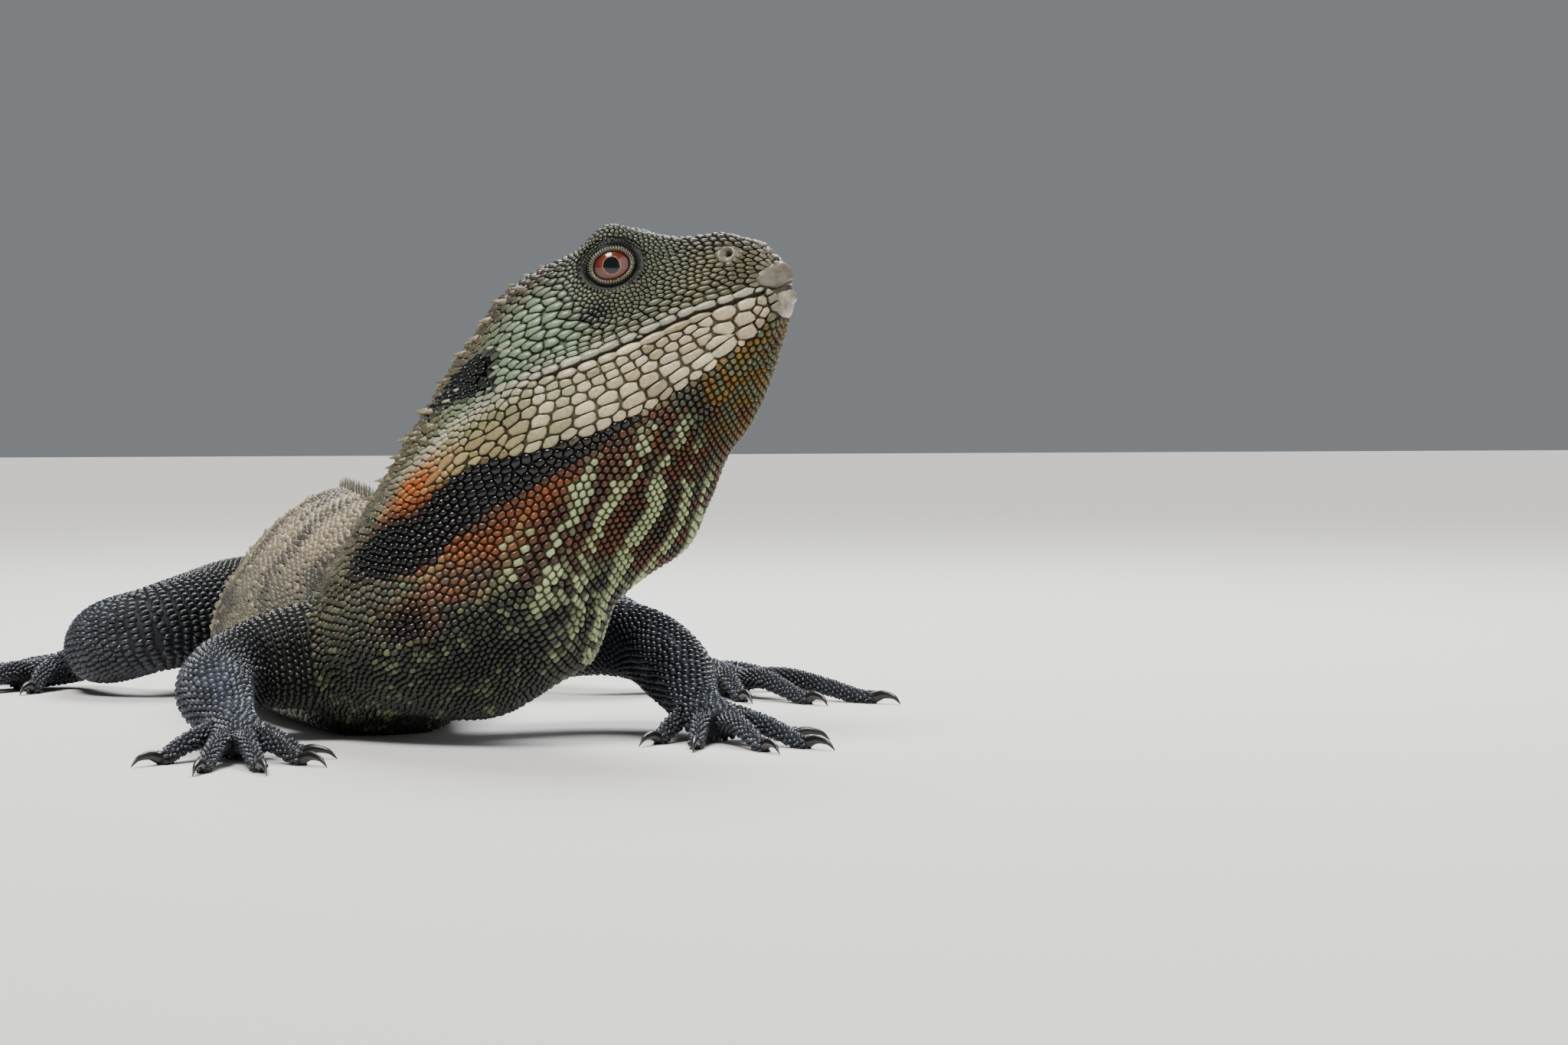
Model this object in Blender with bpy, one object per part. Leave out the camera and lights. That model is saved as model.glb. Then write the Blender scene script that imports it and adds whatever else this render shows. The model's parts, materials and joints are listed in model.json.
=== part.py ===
"""Water dragon resting on its belly with the head raised and turned to its left.

A still, life-size adult male of the southern form, in metres, +Z up, tail towards +Y.
Lengths below are in millimetres and are turned into metres when a mesh is made.
"""
import math
import random

import bmesh
import bpy
import numpy as np
from mathutils import Matrix, Vector

# Driving sizes in millimetres
MM = 0.001
GAP = 0.3
SNOUT_TO_VENT = 238.0
TAIL_LENGTH = 560.0
SNOUT_TO_SHOULDER = 94.0
HEAD_END = 59.0
HEAD_PITCH = 18.6
TAIL_TIP = SNOUT_TO_VENT + TAIL_LENGTH
SEED = 7
FLAT_ANGLE = math.radians(0.2)

# Sides of the rings
BODY_SIDES = 28
TAIL_SIDES = 14
LIMB_SIDES = 12
DIGIT_SIDES = 6
CLAW_SIDES = 5

# Heading along the animal in degrees from the -Y axis towards +X, by distance behind the snout
HEADING = [
    (0, 62), (48, 62), (97, 3), (165, -7), (238, -14), (330, -22), (470, -14), (620, -10), (TAIL_TIP, -24),
]

# Head and neck sections, each perpendicular to the head's axis and half a ring
# distance, pitch, axis height, top, ridge y h, lip y h, jaw y h, throat y h, bottom
HEAD_SECTIONS = [
    (0.0, 18.6, 89.9, 5.4, 2.0, 5.0, 3.3, 0.5, 3.1, -2.4, 2.0, -3.6, -3.9),
    (1.2, 18.6, 89.5, 8.2, 3.1, 7.7, 5.2, 0.6, 5.0, -3.3, 3.3, -5.5, -6.2),
    (3.6, 18.6, 88.7, 9.8, 4.1, 9.4, 7.0, 0.6, 6.9, -4.2, 4.6, -8.2, -9.9),
    (7.5, 18.6, 87.4, 12.0, 4.9, 11.8, 9.2, 0.6, 9.2, -5.0, 6.0, -11.8, -15.8),
    (14.0, 18.6, 85.2, 13.3, 6.0, 13.2, 11.4, 0.8, 11.6, -5.8, 7.6, -16.3, -23.3),
    (20.0, 18.6, 83.2, 15.5, 8.0, 16.3, 13.4, 0.5, 13.9, -6.6, 9.2, -19.6, -27.6),
    (26.0, 18.6, 81.2, 17.4, 10.6, 20.0, 15.6, 0.0, 16.6, -7.6, 11.0, -24.2, -34.8),
    (33.0, 18.6, 78.8, 16.2, 10.6, 17.2, 18.2, -1.0, 19.6, -8.6, 13.0, -28.3, -42.0),
    (42.0, 18.6, 75.8, 16.4, 10.8, 15.4, 20.4, -1.6, 22.0, -9.6, 14.6, -31.2, -44.6),
    (49.0, 18.6, 73.4, 15.2, 10.9, 13.0, 20.7, -2.4, 22.6, -11.2, 15.8, -34.4, -47.6),
    (57.0, 17.5, 70.0, 10.5, 10.2, 7.2, 18.4, -4.2, 21.0, -14.4, 17.0, -41.5, -57.0),
    (66.0, 14.0, 61.5, 7.8, 9.2, 3.6, 15.8, -5.0, 19.6, -15.4, 17.2, -40.0, -55.5),
    (80.0, 6.0, 45.0, 3.0, 8.8, 0.0, 14.8, -6.6, 18.8, -15.4, 18.2, -31.5, -40.4),
]

# Trunk and tail sections, each a distance, half width and height
TRUNK_SECTIONS = [
    (94, 21.0, 45.5), (115, 25.0, 47.5), (150, 29.0, 48.2), (190, 28.0, 44.0), (220, 22.5, 39.5),
    (238, 17.0, 33.5), (256, 12.6, 27.0), (330, 8.6, 20.5), (470, 5.6, 14.0), (620, 3.1, 8.2),
    (730, 1.6, 4.4), (TAIL_TIP, 0.6, 1.7),
]

# The trunk's section as shares of its half width and height, from the back to the belly
TRUNK_SHAPE = [(0.0, 0.5), (0.5, 0.34), (0.87, 0.05), (0.97, -0.22), (0.64, -0.455), (0.0, -0.512)]

# Joints of each limb as outwards, backwards from its girdle, height, radius across and radius up
SHOULDER = 94.0
HIP = 222.0
ARM_RIGHT = [
    (5, -9, 18, 10, 10), (14, -8.5, 17.2, 10.4, 10.6), (22.5, -8, 16.2, 9.6, 9.8), (30.5, -9, 14.8, 7.6, 8.2),
    (36.5, -14.5, 13, 7, 7.4), (39.2, -23.5, 10.6, 7.2, 7.2), (38.8, -35, 6.8, 4.9, 4.4),
    (38.8, -42.5, 4.6, 5.4, 3.4), (40.3, -49.5, 3.4, 5.6, 2.8),
]
ARM_LEFT = [
    (6, -8, 19, 9, 9), (19, -8, 19, 9.4, 10), (33, -5, 19.5, 8.8, 9), (45, -4, 19, 7.6, 7.8),
    (53.3, -9.5, 17, 7.3, 7.3), (56.2, -20, 12.3, 7.1, 7), (56, -31, 7.2, 5.1, 4.7),
    (56.5, -38, 4.8, 5.8, 3.7), (58, -45, 3.6, 5.8, 3),
]
LEG_RIGHT = [
    (4, 3, 17.5, 11, 11), (14, -1, 18, 12.6, 12.6), (23.5, -14, 18.4, 12.2, 12.2),
    (32, -26.5, 17.6, 10.4, 10.4), (42, -32.5, 15.2, 9.4, 9.4), (52.5, -27, 11.9, 9.0, 9.0),
    (58.5, -13, 8, 5.4, 5.2), (63, -7, 5.4, 5.2, 3.8), (70, -8.5, 4, 6.0, 3.2), (77, -13, 3.2, 5.8, 2.6),
]
LEG_LEFT = [
    (4, 3, 18, 11, 11), (15, 0, 19, 12.8, 12.8), (28, -14, 21, 12.4, 12.4), (41, -26, 21.5, 10.4, 10.4),
    (52, -33, 19, 9.2, 9.2), (64, -33, 13.6, 8.4, 8.4), (75, -28, 8, 5.4, 5.2), (81, -29, 5.4, 5.2, 3.8),
    (87, -35, 4, 6.0, 3.2), (92, -42, 3.2, 5.8, 2.6),
]
ARM_CUTS = (2.7, 6.0)
LEG_CUTS = (3.6, 6.0)
LIMB_CLEARANCE = 0.3
BEND_GAP = 0.5

# Digits as a start along the palm, a start across it, a heading outwards and a length
HAND_DIGITS = [
    (0.25, -0.7, -58, 12), (0.6, -0.55, -32, 17), (0.9, -0.1, -4, 21), (0.8, 0.35, 19, 22),
    (0.35, 0.7, 50, 16),
]
FOOT_DIGITS = [
    (0.35, -0.7, -50, 12), (0.65, -0.5, -24, 18), (0.9, -0.15, -5, 27), (0.8, 0.35, 12, 38),
    (0.1, 0.6, 58, 24),
]
HAND_DIGIT_RADIUS = 1.9
FOOT_DIGIT_RADIUS = 2.1
CLAW_LENGTH = {"hand": 5.6, "foot": 6.2}

# Head features, in distance behind the snout along the head's axis, outwards and up
EYE = (29.4, 7.2, 13.2)
EYE_RADIUS = 5.8
EYE_OPENING = (4.8, 3.7)
NOSTRIL = (8.0, 8.6)
EAR = (57.0, 1.5)
MOUTH_SHARE = 0.445
MOUTH_END = 46.0
MOUTH_DEPTH = 1.7
MOUTH_WIDTH = 0.5

# Rows of lip scutes, each a height above the mouth, a start, half sizes along and up and a count
LIP_ROWS = [
    (1.25, 4.4, 2.6, 0.95, 7), (-1.35, 4.6, 2.7, 1.1, 7), (-4.6, 6.0, 2.8, 1.7, 6),
    (-8.6, 10.0, 3.0, 1.8, 5),
]

COLOURS = {
    "head": (0.17, 0.19, 0.12), "neck": (0.16, 0.10, 0.05), "torso": (0.10, 0.10, 0.075),
    "tail": (0.06, 0.065, 0.06), "limb": (0.05, 0.06, 0.07), "claw": (0.03, 0.025, 0.025),
    "eye": (0.25, 0.06, 0.03),
}


def smooth(knots, values, at):
    """Reads a smooth curve through the knots that never overshoots them."""
    x = np.asarray(knots, float)
    y = np.asarray(values, float)
    at = np.clip(at, x[0], x[-1])
    step = np.diff(x)
    rise = np.diff(y) / step
    both = rise[:-1] * rise[1:]
    total = rise[:-1] + rise[1:]
    slope = np.zeros_like(y)
    slope[1:-1] = np.where(both > 0, 2 * both / np.where(total == 0, 1, total), 0)
    slope[0], slope[-1] = rise[0], rise[-1]
    i = np.clip(np.searchsorted(x, at, side="right") - 1, 0, len(x) - 2)
    u = (at - x[i]) / step[i]
    start = y[i] * (1 + 2 * u) * (1 - u) ** 2 + step[i] * slope[i] * u * (1 - u) ** 2
    end = y[i + 1] * u * u * (3 - 2 * u) + step[i] * slope[i + 1] * u * u * (u - 1)
    return start + end


def trunk_row(distance, half_width, height):
    """Gives one trunk section in the same columns as the head's sections."""
    row = [distance, 0.0, height / 2, TRUNK_SHAPE[0][1] * height]
    for across, up in TRUNK_SHAPE[1:-1]:
        row += [across * half_width, up * height]
    return row + [TRUNK_SHAPE[-1][1] * height]


SECTIONS = np.array([list(r) for r in HEAD_SECTIONS] + [trunk_row(*r) for r in TRUNK_SECTIONS], float)
WALK = np.arange(0.0, TAIL_TIP + 0.25, 0.5)


def walk_path():
    """Walks backwards from the snout and gives x and y, with the shoulder at the origin."""
    turn = np.radians(smooth([h[0] for h in HEADING], [h[1] for h in HEADING], WALK))
    x = np.concatenate([[0], np.cumsum(-np.sin(turn[:-1]) * 0.5)])
    y = np.concatenate([[0], np.cumsum(np.cos(turn[:-1]) * 0.5)])
    at_shoulder = np.searchsorted(WALK, SNOUT_TO_SHOULDER)
    return x - x[at_shoulder], y - y[at_shoulder]


PATH_X, PATH_Y = walk_path()


def frame_at(distance):
    """Gives the ring centre and its left and up directions at a distance behind the snout."""
    turn = math.radians(float(smooth([h[0] for h in HEADING], [h[1] for h in HEADING], distance)))
    pitch = math.radians(float(smooth(SECTIONS[:, 0], SECTIONS[:, 1], distance)))
    height = float(smooth(SECTIONS[:, 0], SECTIONS[:, 2], distance))
    centre = Vector((np.interp(distance, WALK, PATH_X), np.interp(distance, WALK, PATH_Y), height))
    left = Vector((math.cos(turn), math.sin(turn), 0))
    forward = Vector((math.sin(turn), -math.cos(turn), 0))
    up = Vector((0, 0, 1)) * math.cos(pitch) - forward * math.sin(pitch)
    return centre, left, up


def half_section(distance, share):
    """Gives y and h on the half section, with share 0 at the back and 1 at the belly."""
    row = [float(smooth(SECTIONS[:, 0], SECTIONS[:, k], distance)) for k in range(3, SECTIONS.shape[1])]
    points = [(0, row[0])] + [(row[k], row[k + 1]) for k in (1, 3, 5, 7)] + [(0, row[9])]
    points = [(-points[1][0], points[1][1])] + points + [(-points[4][0], points[4][1])]
    place = min(max(share, 0.0), 1.0) * 5
    i = min(int(place), 4)
    u = place - i
    a, b, c, d = (np.array(p, float) for p in points[i:i + 4])
    cubic = 2 * b + (c - a) * u + (2 * a - 5 * b + 4 * c - d) * u * u + (3 * b - a - 3 * c + d) * u ** 3
    return cubic / 2


def skin_point(distance, share, side):
    """Gives the point on the body at a distance, a share round the section and a side, -1 being right."""
    centre, left, up = frame_at(distance)
    y, h = half_section(distance, share)
    return centre + left * (side * y) + up * h


def skin_normal(distance, share, side):
    """Gives the outward direction of the body's surface."""
    step, turn = 0.6, 0.02
    along = skin_point(distance + step, share, side) - skin_point(distance - step, share, side)
    lower, upper = min(share + turn, 1.0), max(share - turn, 0.0)
    round_it = skin_point(distance, lower, side) - skin_point(distance, upper, side)
    normal = along.cross(round_it).normalized()
    centre, _, _ = frame_at(distance)
    outward = skin_point(distance, share, side) - centre
    return normal if normal.dot(outward) > 0 else -normal


def body_ring(distance, sides):
    """Gives one whole ring of the body, resting no lower than the floor."""
    half = sides // 2
    shares = [k / half for k in range(half + 1)]
    ring = [skin_point(distance, s, -1) for s in shares]
    ring += [skin_point(distance, s, 1) for s in reversed(shares[1:-1])]
    return [Vector((p.x, p.y, max(p.z, 0.0))) for p in ring]


def make_object(name, bm, collection):
    """Turns a mesh in millimetres into a named object with its faces pointing out."""
    bmesh.ops.recalc_face_normals(bm, faces=bm.faces)
    bmesh.ops.scale(bm, vec=(MM, MM, MM), verts=bm.verts)
    mesh = bpy.data.meshes.new(name)
    bm.to_mesh(mesh)
    bm.free()
    piece = bpy.data.objects.new(name, mesh)
    collection.objects.link(piece)
    return piece


def loft(name, rings, collection):
    """Joins rings of equal count into one closed body with flat ends."""
    bm = bmesh.new()
    rows = [[bm.verts.new(p) for p in ring] for ring in rings]
    count = len(rows[0])
    for near, far in zip(rows, rows[1:]):
        for k in range(count):
            m = (k + 1) % count
            bm.faces.new((near[k], near[m], far[m], far[k]))
    bm.faces.new(rows[0])
    bm.faces.new(list(reversed(rows[-1])))
    bmesh.ops.triangulate(bm, faces=bm.faces)
    return make_object(name, bm, collection)


def spaced(start, end, step):
    """Gives evenly spaced distances from start to end, about step apart."""
    count = max(2, round((end - start) / step) + 1)
    return list(np.linspace(start, end, count))


def body_part(name, start, end, step, sides, collection, extra=()):
    """Lofts the body between two distances, with extra rings where the form turns quickly."""
    places = sorted(set(spaced(start, end, step)) | {e for e in extra if start < e < end})
    return loft(name, [body_ring(d, sides) for d in places], collection)


def add_cone(bm, root, direction, width, height, flatten=1.0, along=None, sides=4):
    """Adds one spine, rooted below the surface and flattened across its length."""
    up = Vector(direction).normalized()
    front = Vector(along) if along is not None else Vector((0, 1, 0))
    front = (front - up * front.dot(up)).normalized()
    turn = Matrix((front, up.cross(front), up)).transposed().to_4x4()
    shape = Matrix.Diagonal((1, flatten, 1, 1))
    sink = 0.35 * height
    place = Matrix.Translation(Vector(root) + up * (height / 2 - sink)) @ turn @ shape
    bmesh.ops.create_cone(
        bm, cap_ends=True, segments=sides, radius1=width / 2 * 1.35, radius2=width * 0.04,
        depth=height + sink, matrix=place,
    )


def add_dome(bm, centre, axes, sizes, fine=1):
    """Adds one oval dome, its three half sizes along the three axes."""
    turn = Matrix([Vector(a).normalized() for a in axes]).transposed().to_4x4()
    place = Matrix.Translation(Vector(centre)) @ turn @ Matrix.Diagonal((*sizes, 1))
    bmesh.ops.create_icosphere(bm, subdivisions=fine, radius=1, matrix=place)


def loose_parts(bm):
    """Splits a mesh into its separate surfaces, largest volume first."""
    seen, parts = set(), []
    for start in bm.faces:
        if start in seen:
            continue
        group, queue = [], [start]
        seen.add(start)
        while queue:
            face = queue.pop()
            group.append(face)
            for edge in face.edges:
                for other in edge.link_faces:
                    if other not in seen:
                        seen.add(other)
                        queue.append(other)
        parts.append(group)
    return parts


def face_volume(face):
    """Gives a triangle's share of the closed volume."""
    a, b, c = (v.co for v in face.verts)
    return a.dot(b.cross(c)) / 6


def keep_largest(piece):
    """Leaves only the largest closed surface of a piece."""
    bm = bmesh.new()
    bm.from_mesh(piece.data)
    bmesh.ops.triangulate(bm, faces=bm.faces)
    parts = sorted(loose_parts(bm), key=lambda g: abs(sum(face_volume(f) for f in g)), reverse=True)
    for group in parts[1:]:
        bmesh.ops.delete(bm, geom=group, context="FACES")
    bmesh.ops.dissolve_limit(bm, angle_limit=FLAT_ANGLE, verts=bm.verts, edges=bm.edges)
    bmesh.ops.triangulate(bm, faces=bm.faces)
    bm.to_mesh(piece.data)
    bm.free()


def boolean(piece, operation, others, solver="MANIFOLD"):
    """Joins or cuts a piece with others in one Boolean, applies it and removes them."""
    helpers = bpy.data.collections.new("helpers")
    bpy.context.scene.collection.children.link(helpers)
    for other in others:
        for holder in list(other.users_collection):
            holder.objects.unlink(other)
        helpers.objects.link(other)
    modifier = piece.modifiers.new("cut", "BOOLEAN")
    modifier.operation = operation
    modifier.operand_type = "COLLECTION"
    modifier.collection = helpers
    modifier.solver = solver
    evaluated = piece.evaluated_get(bpy.context.evaluated_depsgraph_get())
    mesh = bpy.data.meshes.new_from_object(evaluated)
    piece.modifiers.remove(modifier)
    piece.data = mesh
    mesh.name = piece.name
    for other in others:
        bpy.data.objects.remove(other)
    bpy.data.collections.remove(helpers)
    keep_largest(piece)


def split_mesh(bm, name, collection):
    """Makes one object of each loose surface of a mesh, for a Boolean over a collection."""
    pieces = []
    for group in loose_parts(bm):
        part = bmesh.new()
        made = {}
        for face in group:
            verts = []
            for v in face.verts:
                if v not in made:
                    made[v] = part.verts.new(v.co)
                verts.append(made[v])
            part.faces.new(verts)
        bmesh.ops.triangulate(part, faces=part.faces)
        pieces.append(make_object(name, part, collection))
    bm.free()
    return pieces


def swollen(piece, amount, collection):
    """Copies a piece with its surface moved out by an amount, as a cutter that leaves a gap."""
    copy = bpy.data.objects.new(piece.name + "_swollen", piece.data.copy())
    collection.objects.link(copy)
    bm = bmesh.new()
    bm.from_mesh(copy.data)
    bm.normal_update()
    moves = [(v, v.normal * (amount * MM * min(v.calc_shell_factor(), 1.6))) for v in bm.verts]
    for v, move in moves:
        v.co += move
    bm.to_mesh(copy.data)
    bm.free()
    copy.hide_render = True
    copy.display_type = "WIRE"
    return copy


def trim_floor(piece, collection):
    """Cuts off what lies below the floor, which leaves small flats to rest on."""
    if min(v.co.z for v in piece.data.vertices) >= 0:
        return
    bm = bmesh.new()
    block = Matrix.Translation((0, 300, -20)) @ Matrix.Diagonal((1600, 2400, 40, 1))
    bmesh.ops.create_cube(bm, size=1, matrix=block)
    boolean(piece, "DIFFERENCE", [make_object("floor_block", bm, collection)])


def head_point(back, out, up, side):
    """Gives a point of the head from its distance behind the snout, outwards and up."""
    centre, left, upward = frame_at(back * math.cos(math.radians(HEAD_PITCH)))
    return centre + left * (side * out) + upward * up


def share_at(distance, height):
    """Finds the share round the section where the side of the head has a given height."""
    low, high = 0.08, 0.98
    for _ in range(30):
        middle = (low + high) / 2
        if half_section(distance, middle)[1] > height:
            low = middle
        else:
            high = middle
    return (low + high) / 2


def head_skin(back, height, side):
    """Gives a skin point of the head with its outward, backward and upward directions."""
    distance = back * math.cos(math.radians(HEAD_PITCH))
    share = share_at(distance, height)
    point = skin_point(distance, share, side)
    out = skin_normal(distance, share, side)
    behind = (skin_point(distance + 1, share_at(distance + 1, height), side) - point).normalized()
    behind = (behind - out * behind.dot(out)).normalized()
    return point, out, behind, behind.cross(out)


def ring_tube(bm, centre, across, upward, half_width, half_height, thick, steps=16, sides=6):
    """Adds a closed oval ring of round section, such as a lid or the rim of the ear."""
    across, upward = Vector(across).normalized(), Vector(upward).normalized()
    out = across.cross(upward)
    rows = []
    for k in range(steps):
        turn = 2 * math.pi * k / steps
        spoke = across * (half_width * math.cos(turn)) + upward * (half_height * math.sin(turn))
        ray = spoke.normalized()
        row = []
        for m in range(sides):
            roll = 2 * math.pi * m / sides
            offset = ray * (thick * math.cos(roll)) + out * (thick * math.sin(roll))
            row.append(bm.verts.new(centre + spoke + offset))
        rows.append(row)
    for k in range(steps):
        near, far = rows[k], rows[(k + 1) % steps]
        for m in range(sides):
            n = (m + 1) % sides
            bm.faces.new((near[m], near[n], far[n], far[m]))


def eye_axes(side):
    """Gives the eye's centre and the directions it looks, lies along and stands up in."""
    _, left, up = frame_at(EYE[0] * math.cos(math.radians(HEAD_PITCH)))
    centre = head_point(*EYE, side)
    look = (left * side + up * 0.1 + left.cross(up) * 0.16).normalized()
    behind = up.cross(left)
    behind = (behind - look * behind.dot(look)).normalized()
    stand = up - look * up.dot(look) - behind * up.dot(behind)
    return centre, look, behind, stand.normalized()


def lid_rings(bm, side):
    """Adds the upper and lower lids as an oval ring on the ball, with a second fold outside it."""
    centre, look, behind, stand = eye_axes(side)
    wide, tall = EYE_OPENING
    ring_tube(bm, centre + look * 4.6, behind, stand, wide + 0.5, tall + 0.5, 0.85, steps=14, sides=5)
    ring_tube(bm, centre + look * 3.9, behind, stand, wide + 2.1, tall + 2.2, 0.8, steps=14, sides=4)


def lip_scutes(bm, side, chance):
    """Adds the rows of scutes above and below the mouth and two rows along the jaw."""
    for offset, start, half_long, half_tall, count in LIP_ROWS:
        for k in range(count):
            back = start + (MOUTH_END - 3 - start) * (k + 0.5) / count
            mouth = float(half_section(back * math.cos(math.radians(HEAD_PITCH)), MOUTH_SHARE)[1])
            point, out, behind, upward = head_skin(back, mouth + offset, side)
            longer = half_long * chance.uniform(0.9, 1.1)
            sizes = (longer, half_tall * chance.uniform(0.92, 1.08), 0.75)
            add_dome(bm, point, (behind, upward, out), sizes)


def nose_plates(bm):
    """Adds the plate at the tip of each jaw and the raised rim of each nostril."""
    _, left, up = frame_at(1)
    ahead = left.cross(up)
    add_dome(bm, head_point(0.7, 0, 1.9, 1), (left, up, ahead), (3.8, 2.4, 1.6))
    add_dome(bm, head_point(0.9, 0, -3.2, 1), (left, up, ahead), (3.0, 2.1, 1.5))
    for side in (-1, 1):
        point, out, behind, upward = head_skin(*NOSTRIL, side)
        ring_tube(bm, point, behind, upward, 1.5, 1.05, 0.5, steps=8, sides=4)


def ear_rims(bm, side, chance):
    """Adds the rim round the ear cup and the cluster of spines behind it."""
    point, out, behind, upward = head_skin(*EAR, side)
    ring_tube(bm, point, behind, upward, 2.6, 4.0, 0.7, steps=10, sides=4)
    for k in range(6):
        back, height = 47 + 1.9 * k, 12.5 - 1.1 * k + chance.uniform(-0.6, 0.6)
        point, out, behind, upward = head_skin(back, height, side)
        add_cone(bm, point, out + behind * 0.8, 2.0, chance.uniform(1.3, 1.9), 0.7, behind)


def side_spines(bm, start, end, chance):
    """Adds the rows of enlarged spines down each side of the nape."""
    for side in (-1, 1):
        for row, (share, spacing, tall) in enumerate(((0.1, 4.6, 1.9), (0.2, 5.3, 1.7), (0.31, 6.4, 1.5))):
            for k, distance in enumerate(spaced(start + 1.5 + row, end - 1.5, spacing)):
                point = skin_point(distance, share + chance.uniform(-0.015, 0.015), side)
                out = skin_normal(distance, share, side)
                behind = skin_point(distance + 1, share, side) - skin_point(distance, share, side)
                height = tall * chance.uniform(0.8, 1.15)
                add_cone(bm, point, out + behind.normalized() * 0.9, 1.9, height, 0.7, behind)


def crest(bm, start, end, spacing, tall, chance):
    """Adds the crest along the middle of the back, each spine leaning backwards."""
    count = max(1, int((end - start) / spacing))
    for k in range(count):
        share = (k + 0.5) / count
        distance = start + (end - start) * share
        height = float(smooth([t[0] for t in tall], [t[1] for t in tall], distance))
        height *= chance.uniform(0.86, 1.1)
        point = skin_point(distance, 0.0, 1)
        behind = (skin_point(distance + 1, 0.0, 1) - skin_point(distance - 1, 0.0, 1)).normalized()
        out = skin_normal(distance, 0.0, 1)
        add_cone(bm, point, out + behind * 0.55, min(spacing * 0.85, height * 1.3), height, 0.5, behind)


CREST_HEIGHTS = [
    (46, 1.4), (60, 2.2), (76, 3.0), (84, 4.4), (92, 3.6), (120, 2.8), (235, 2.4), (330, 2.2), (620, 1.1),
]


def mouth_blade(collection):
    """Makes the thin strip that cuts the line of the mouth along both sides and round the snout."""
    bm = bmesh.new()
    backs = list(np.linspace(MOUTH_END, 1.4, 14))
    path = []
    for side in (-1, 1):
        leg = []
        for back in backs:
            out, height = half_section(back * math.cos(math.radians(HEAD_PITCH)), MOUTH_SHARE)
            leg.append((back, side * (out + 1.3), back, side * (out - MOUTH_DEPTH), height))
        leg.append((-1.2, side * 3.2, 1.6, side * 1.2, -0.8))
        path.append(leg)
    whole = path[0] + [(-1.3, 0.0, 1.6, 0.0, -0.8)] + list(reversed(path[1]))
    rows = []
    for outer_back, outer, inner_back, inner, height in whole:
        half = MOUTH_WIDTH / 2
        rows.append([
            bm.verts.new(head_point(outer_back, outer, height + half * 1.4, 1)),
            bm.verts.new(head_point(outer_back, outer, height - half * 1.4, 1)),
            bm.verts.new(head_point(inner_back, inner, height - half * 0.6, 1)),
            bm.verts.new(head_point(inner_back, inner, height + half * 0.6, 1)),
        ])
    for near, far in zip(rows, rows[1:]):
        for k in range(4):
            m = (k + 1) % 4
            bm.faces.new((near[k], near[m], far[m], far[k]))
    bm.faces.new(rows[0])
    bm.faces.new(list(reversed(rows[-1])))
    bmesh.ops.triangulate(bm, faces=bm.faces)
    return make_object("mouth_blade", bm, collection)


def head_cutters(collection):
    """Makes the cutters for the eye sockets, lid openings, nostrils, ear cups and mouth."""
    cutters = [mouth_blade(collection)]
    for side in (-1, 1):
        centre, look, behind, stand = eye_axes(side)
        turn = Matrix((behind, stand, look)).transposed().to_4x4()
        bm = bmesh.new()
        middle = Matrix.Translation(centre)
        bmesh.ops.create_icosphere(bm, subdivisions=2, radius=EYE_RADIUS + GAP + 0.2, matrix=middle)
        cutters.append(make_object("socket", bm, collection))
        bm = bmesh.new()
        shape = Matrix.Diagonal((EYE_OPENING[0], EYE_OPENING[1], 1, 1))
        place = Matrix.Translation(centre + look * 6.5) @ turn @ shape
        bmesh.ops.create_cone(bm, cap_ends=True, segments=18, radius1=1, radius2=1.12, depth=7, matrix=place)
        cutters.append(make_object("opening", bm, collection))
        for spot, sizes in ((NOSTRIL, (0.8, 0.6, 1.6)), (EAR, (1.9, 3.3, 1.5))):
            point, out, behind, upward = head_skin(*spot, side)
            bm = bmesh.new()
            add_dome(bm, point, (behind, upward, out), sizes)
            cutters.append(make_object("hollow", bm, collection))
    return cutters


def build_head(collection):
    """Builds the head with its lids, lips, mouth line, nostrils, ear cups and spines."""
    chance = random.Random(SEED)
    head = body_part("head", 0.0, HEAD_END - GAP / 2, 3.2, BODY_SIDES, collection, (0.5, 1.2))
    bm = bmesh.new()
    for side in (-1, 1):
        lid_rings(bm, side)
        lip_scutes(bm, side, chance)
        ear_rims(bm, side, chance)
    nose_plates(bm)
    crest(bm, 44, HEAD_END - 1.5, 3.2, CREST_HEIGHTS, chance)
    boolean(head, "UNION", split_mesh(bm, "form", collection))
    boolean(head, "DIFFERENCE", head_cutters(collection))
    return head


def build_eye(side, name, collection):
    """Builds one eyeball, seated in its socket with a thin gap all round."""
    bm = bmesh.new()
    centre, look, behind, stand = eye_axes(side)
    turn = Matrix((behind, stand, look)).transposed().to_4x4()
    bmesh.ops.create_uvsphere(
        bm, u_segments=12, v_segments=8, radius=EYE_RADIUS, matrix=Matrix.Translation(centre) @ turn,
    )
    bmesh.ops.triangulate(bm, faces=bm.faces)
    return make_object(name, bm, collection)


def tube_point(points, place):
    """Reads position and radii on a smooth line through the joints, place counted in joints."""
    rows = np.array(points, float)
    i = int(min(max(math.floor(place), 0), len(rows) - 2))
    u = place - i
    before = rows[i - 1] if i > 0 else 2 * rows[0] - rows[1]
    after = rows[i + 2] if i + 2 < len(rows) else 2 * rows[-1] - rows[-2]
    b, c = rows[i], rows[i + 1]
    cubic = 2 * b + (c - before) * u + (2 * before - 5 * b + 4 * c - after) * u * u
    cubic = cubic + (3 * b - before - 3 * c + after) * u ** 3
    return cubic / 2


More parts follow.
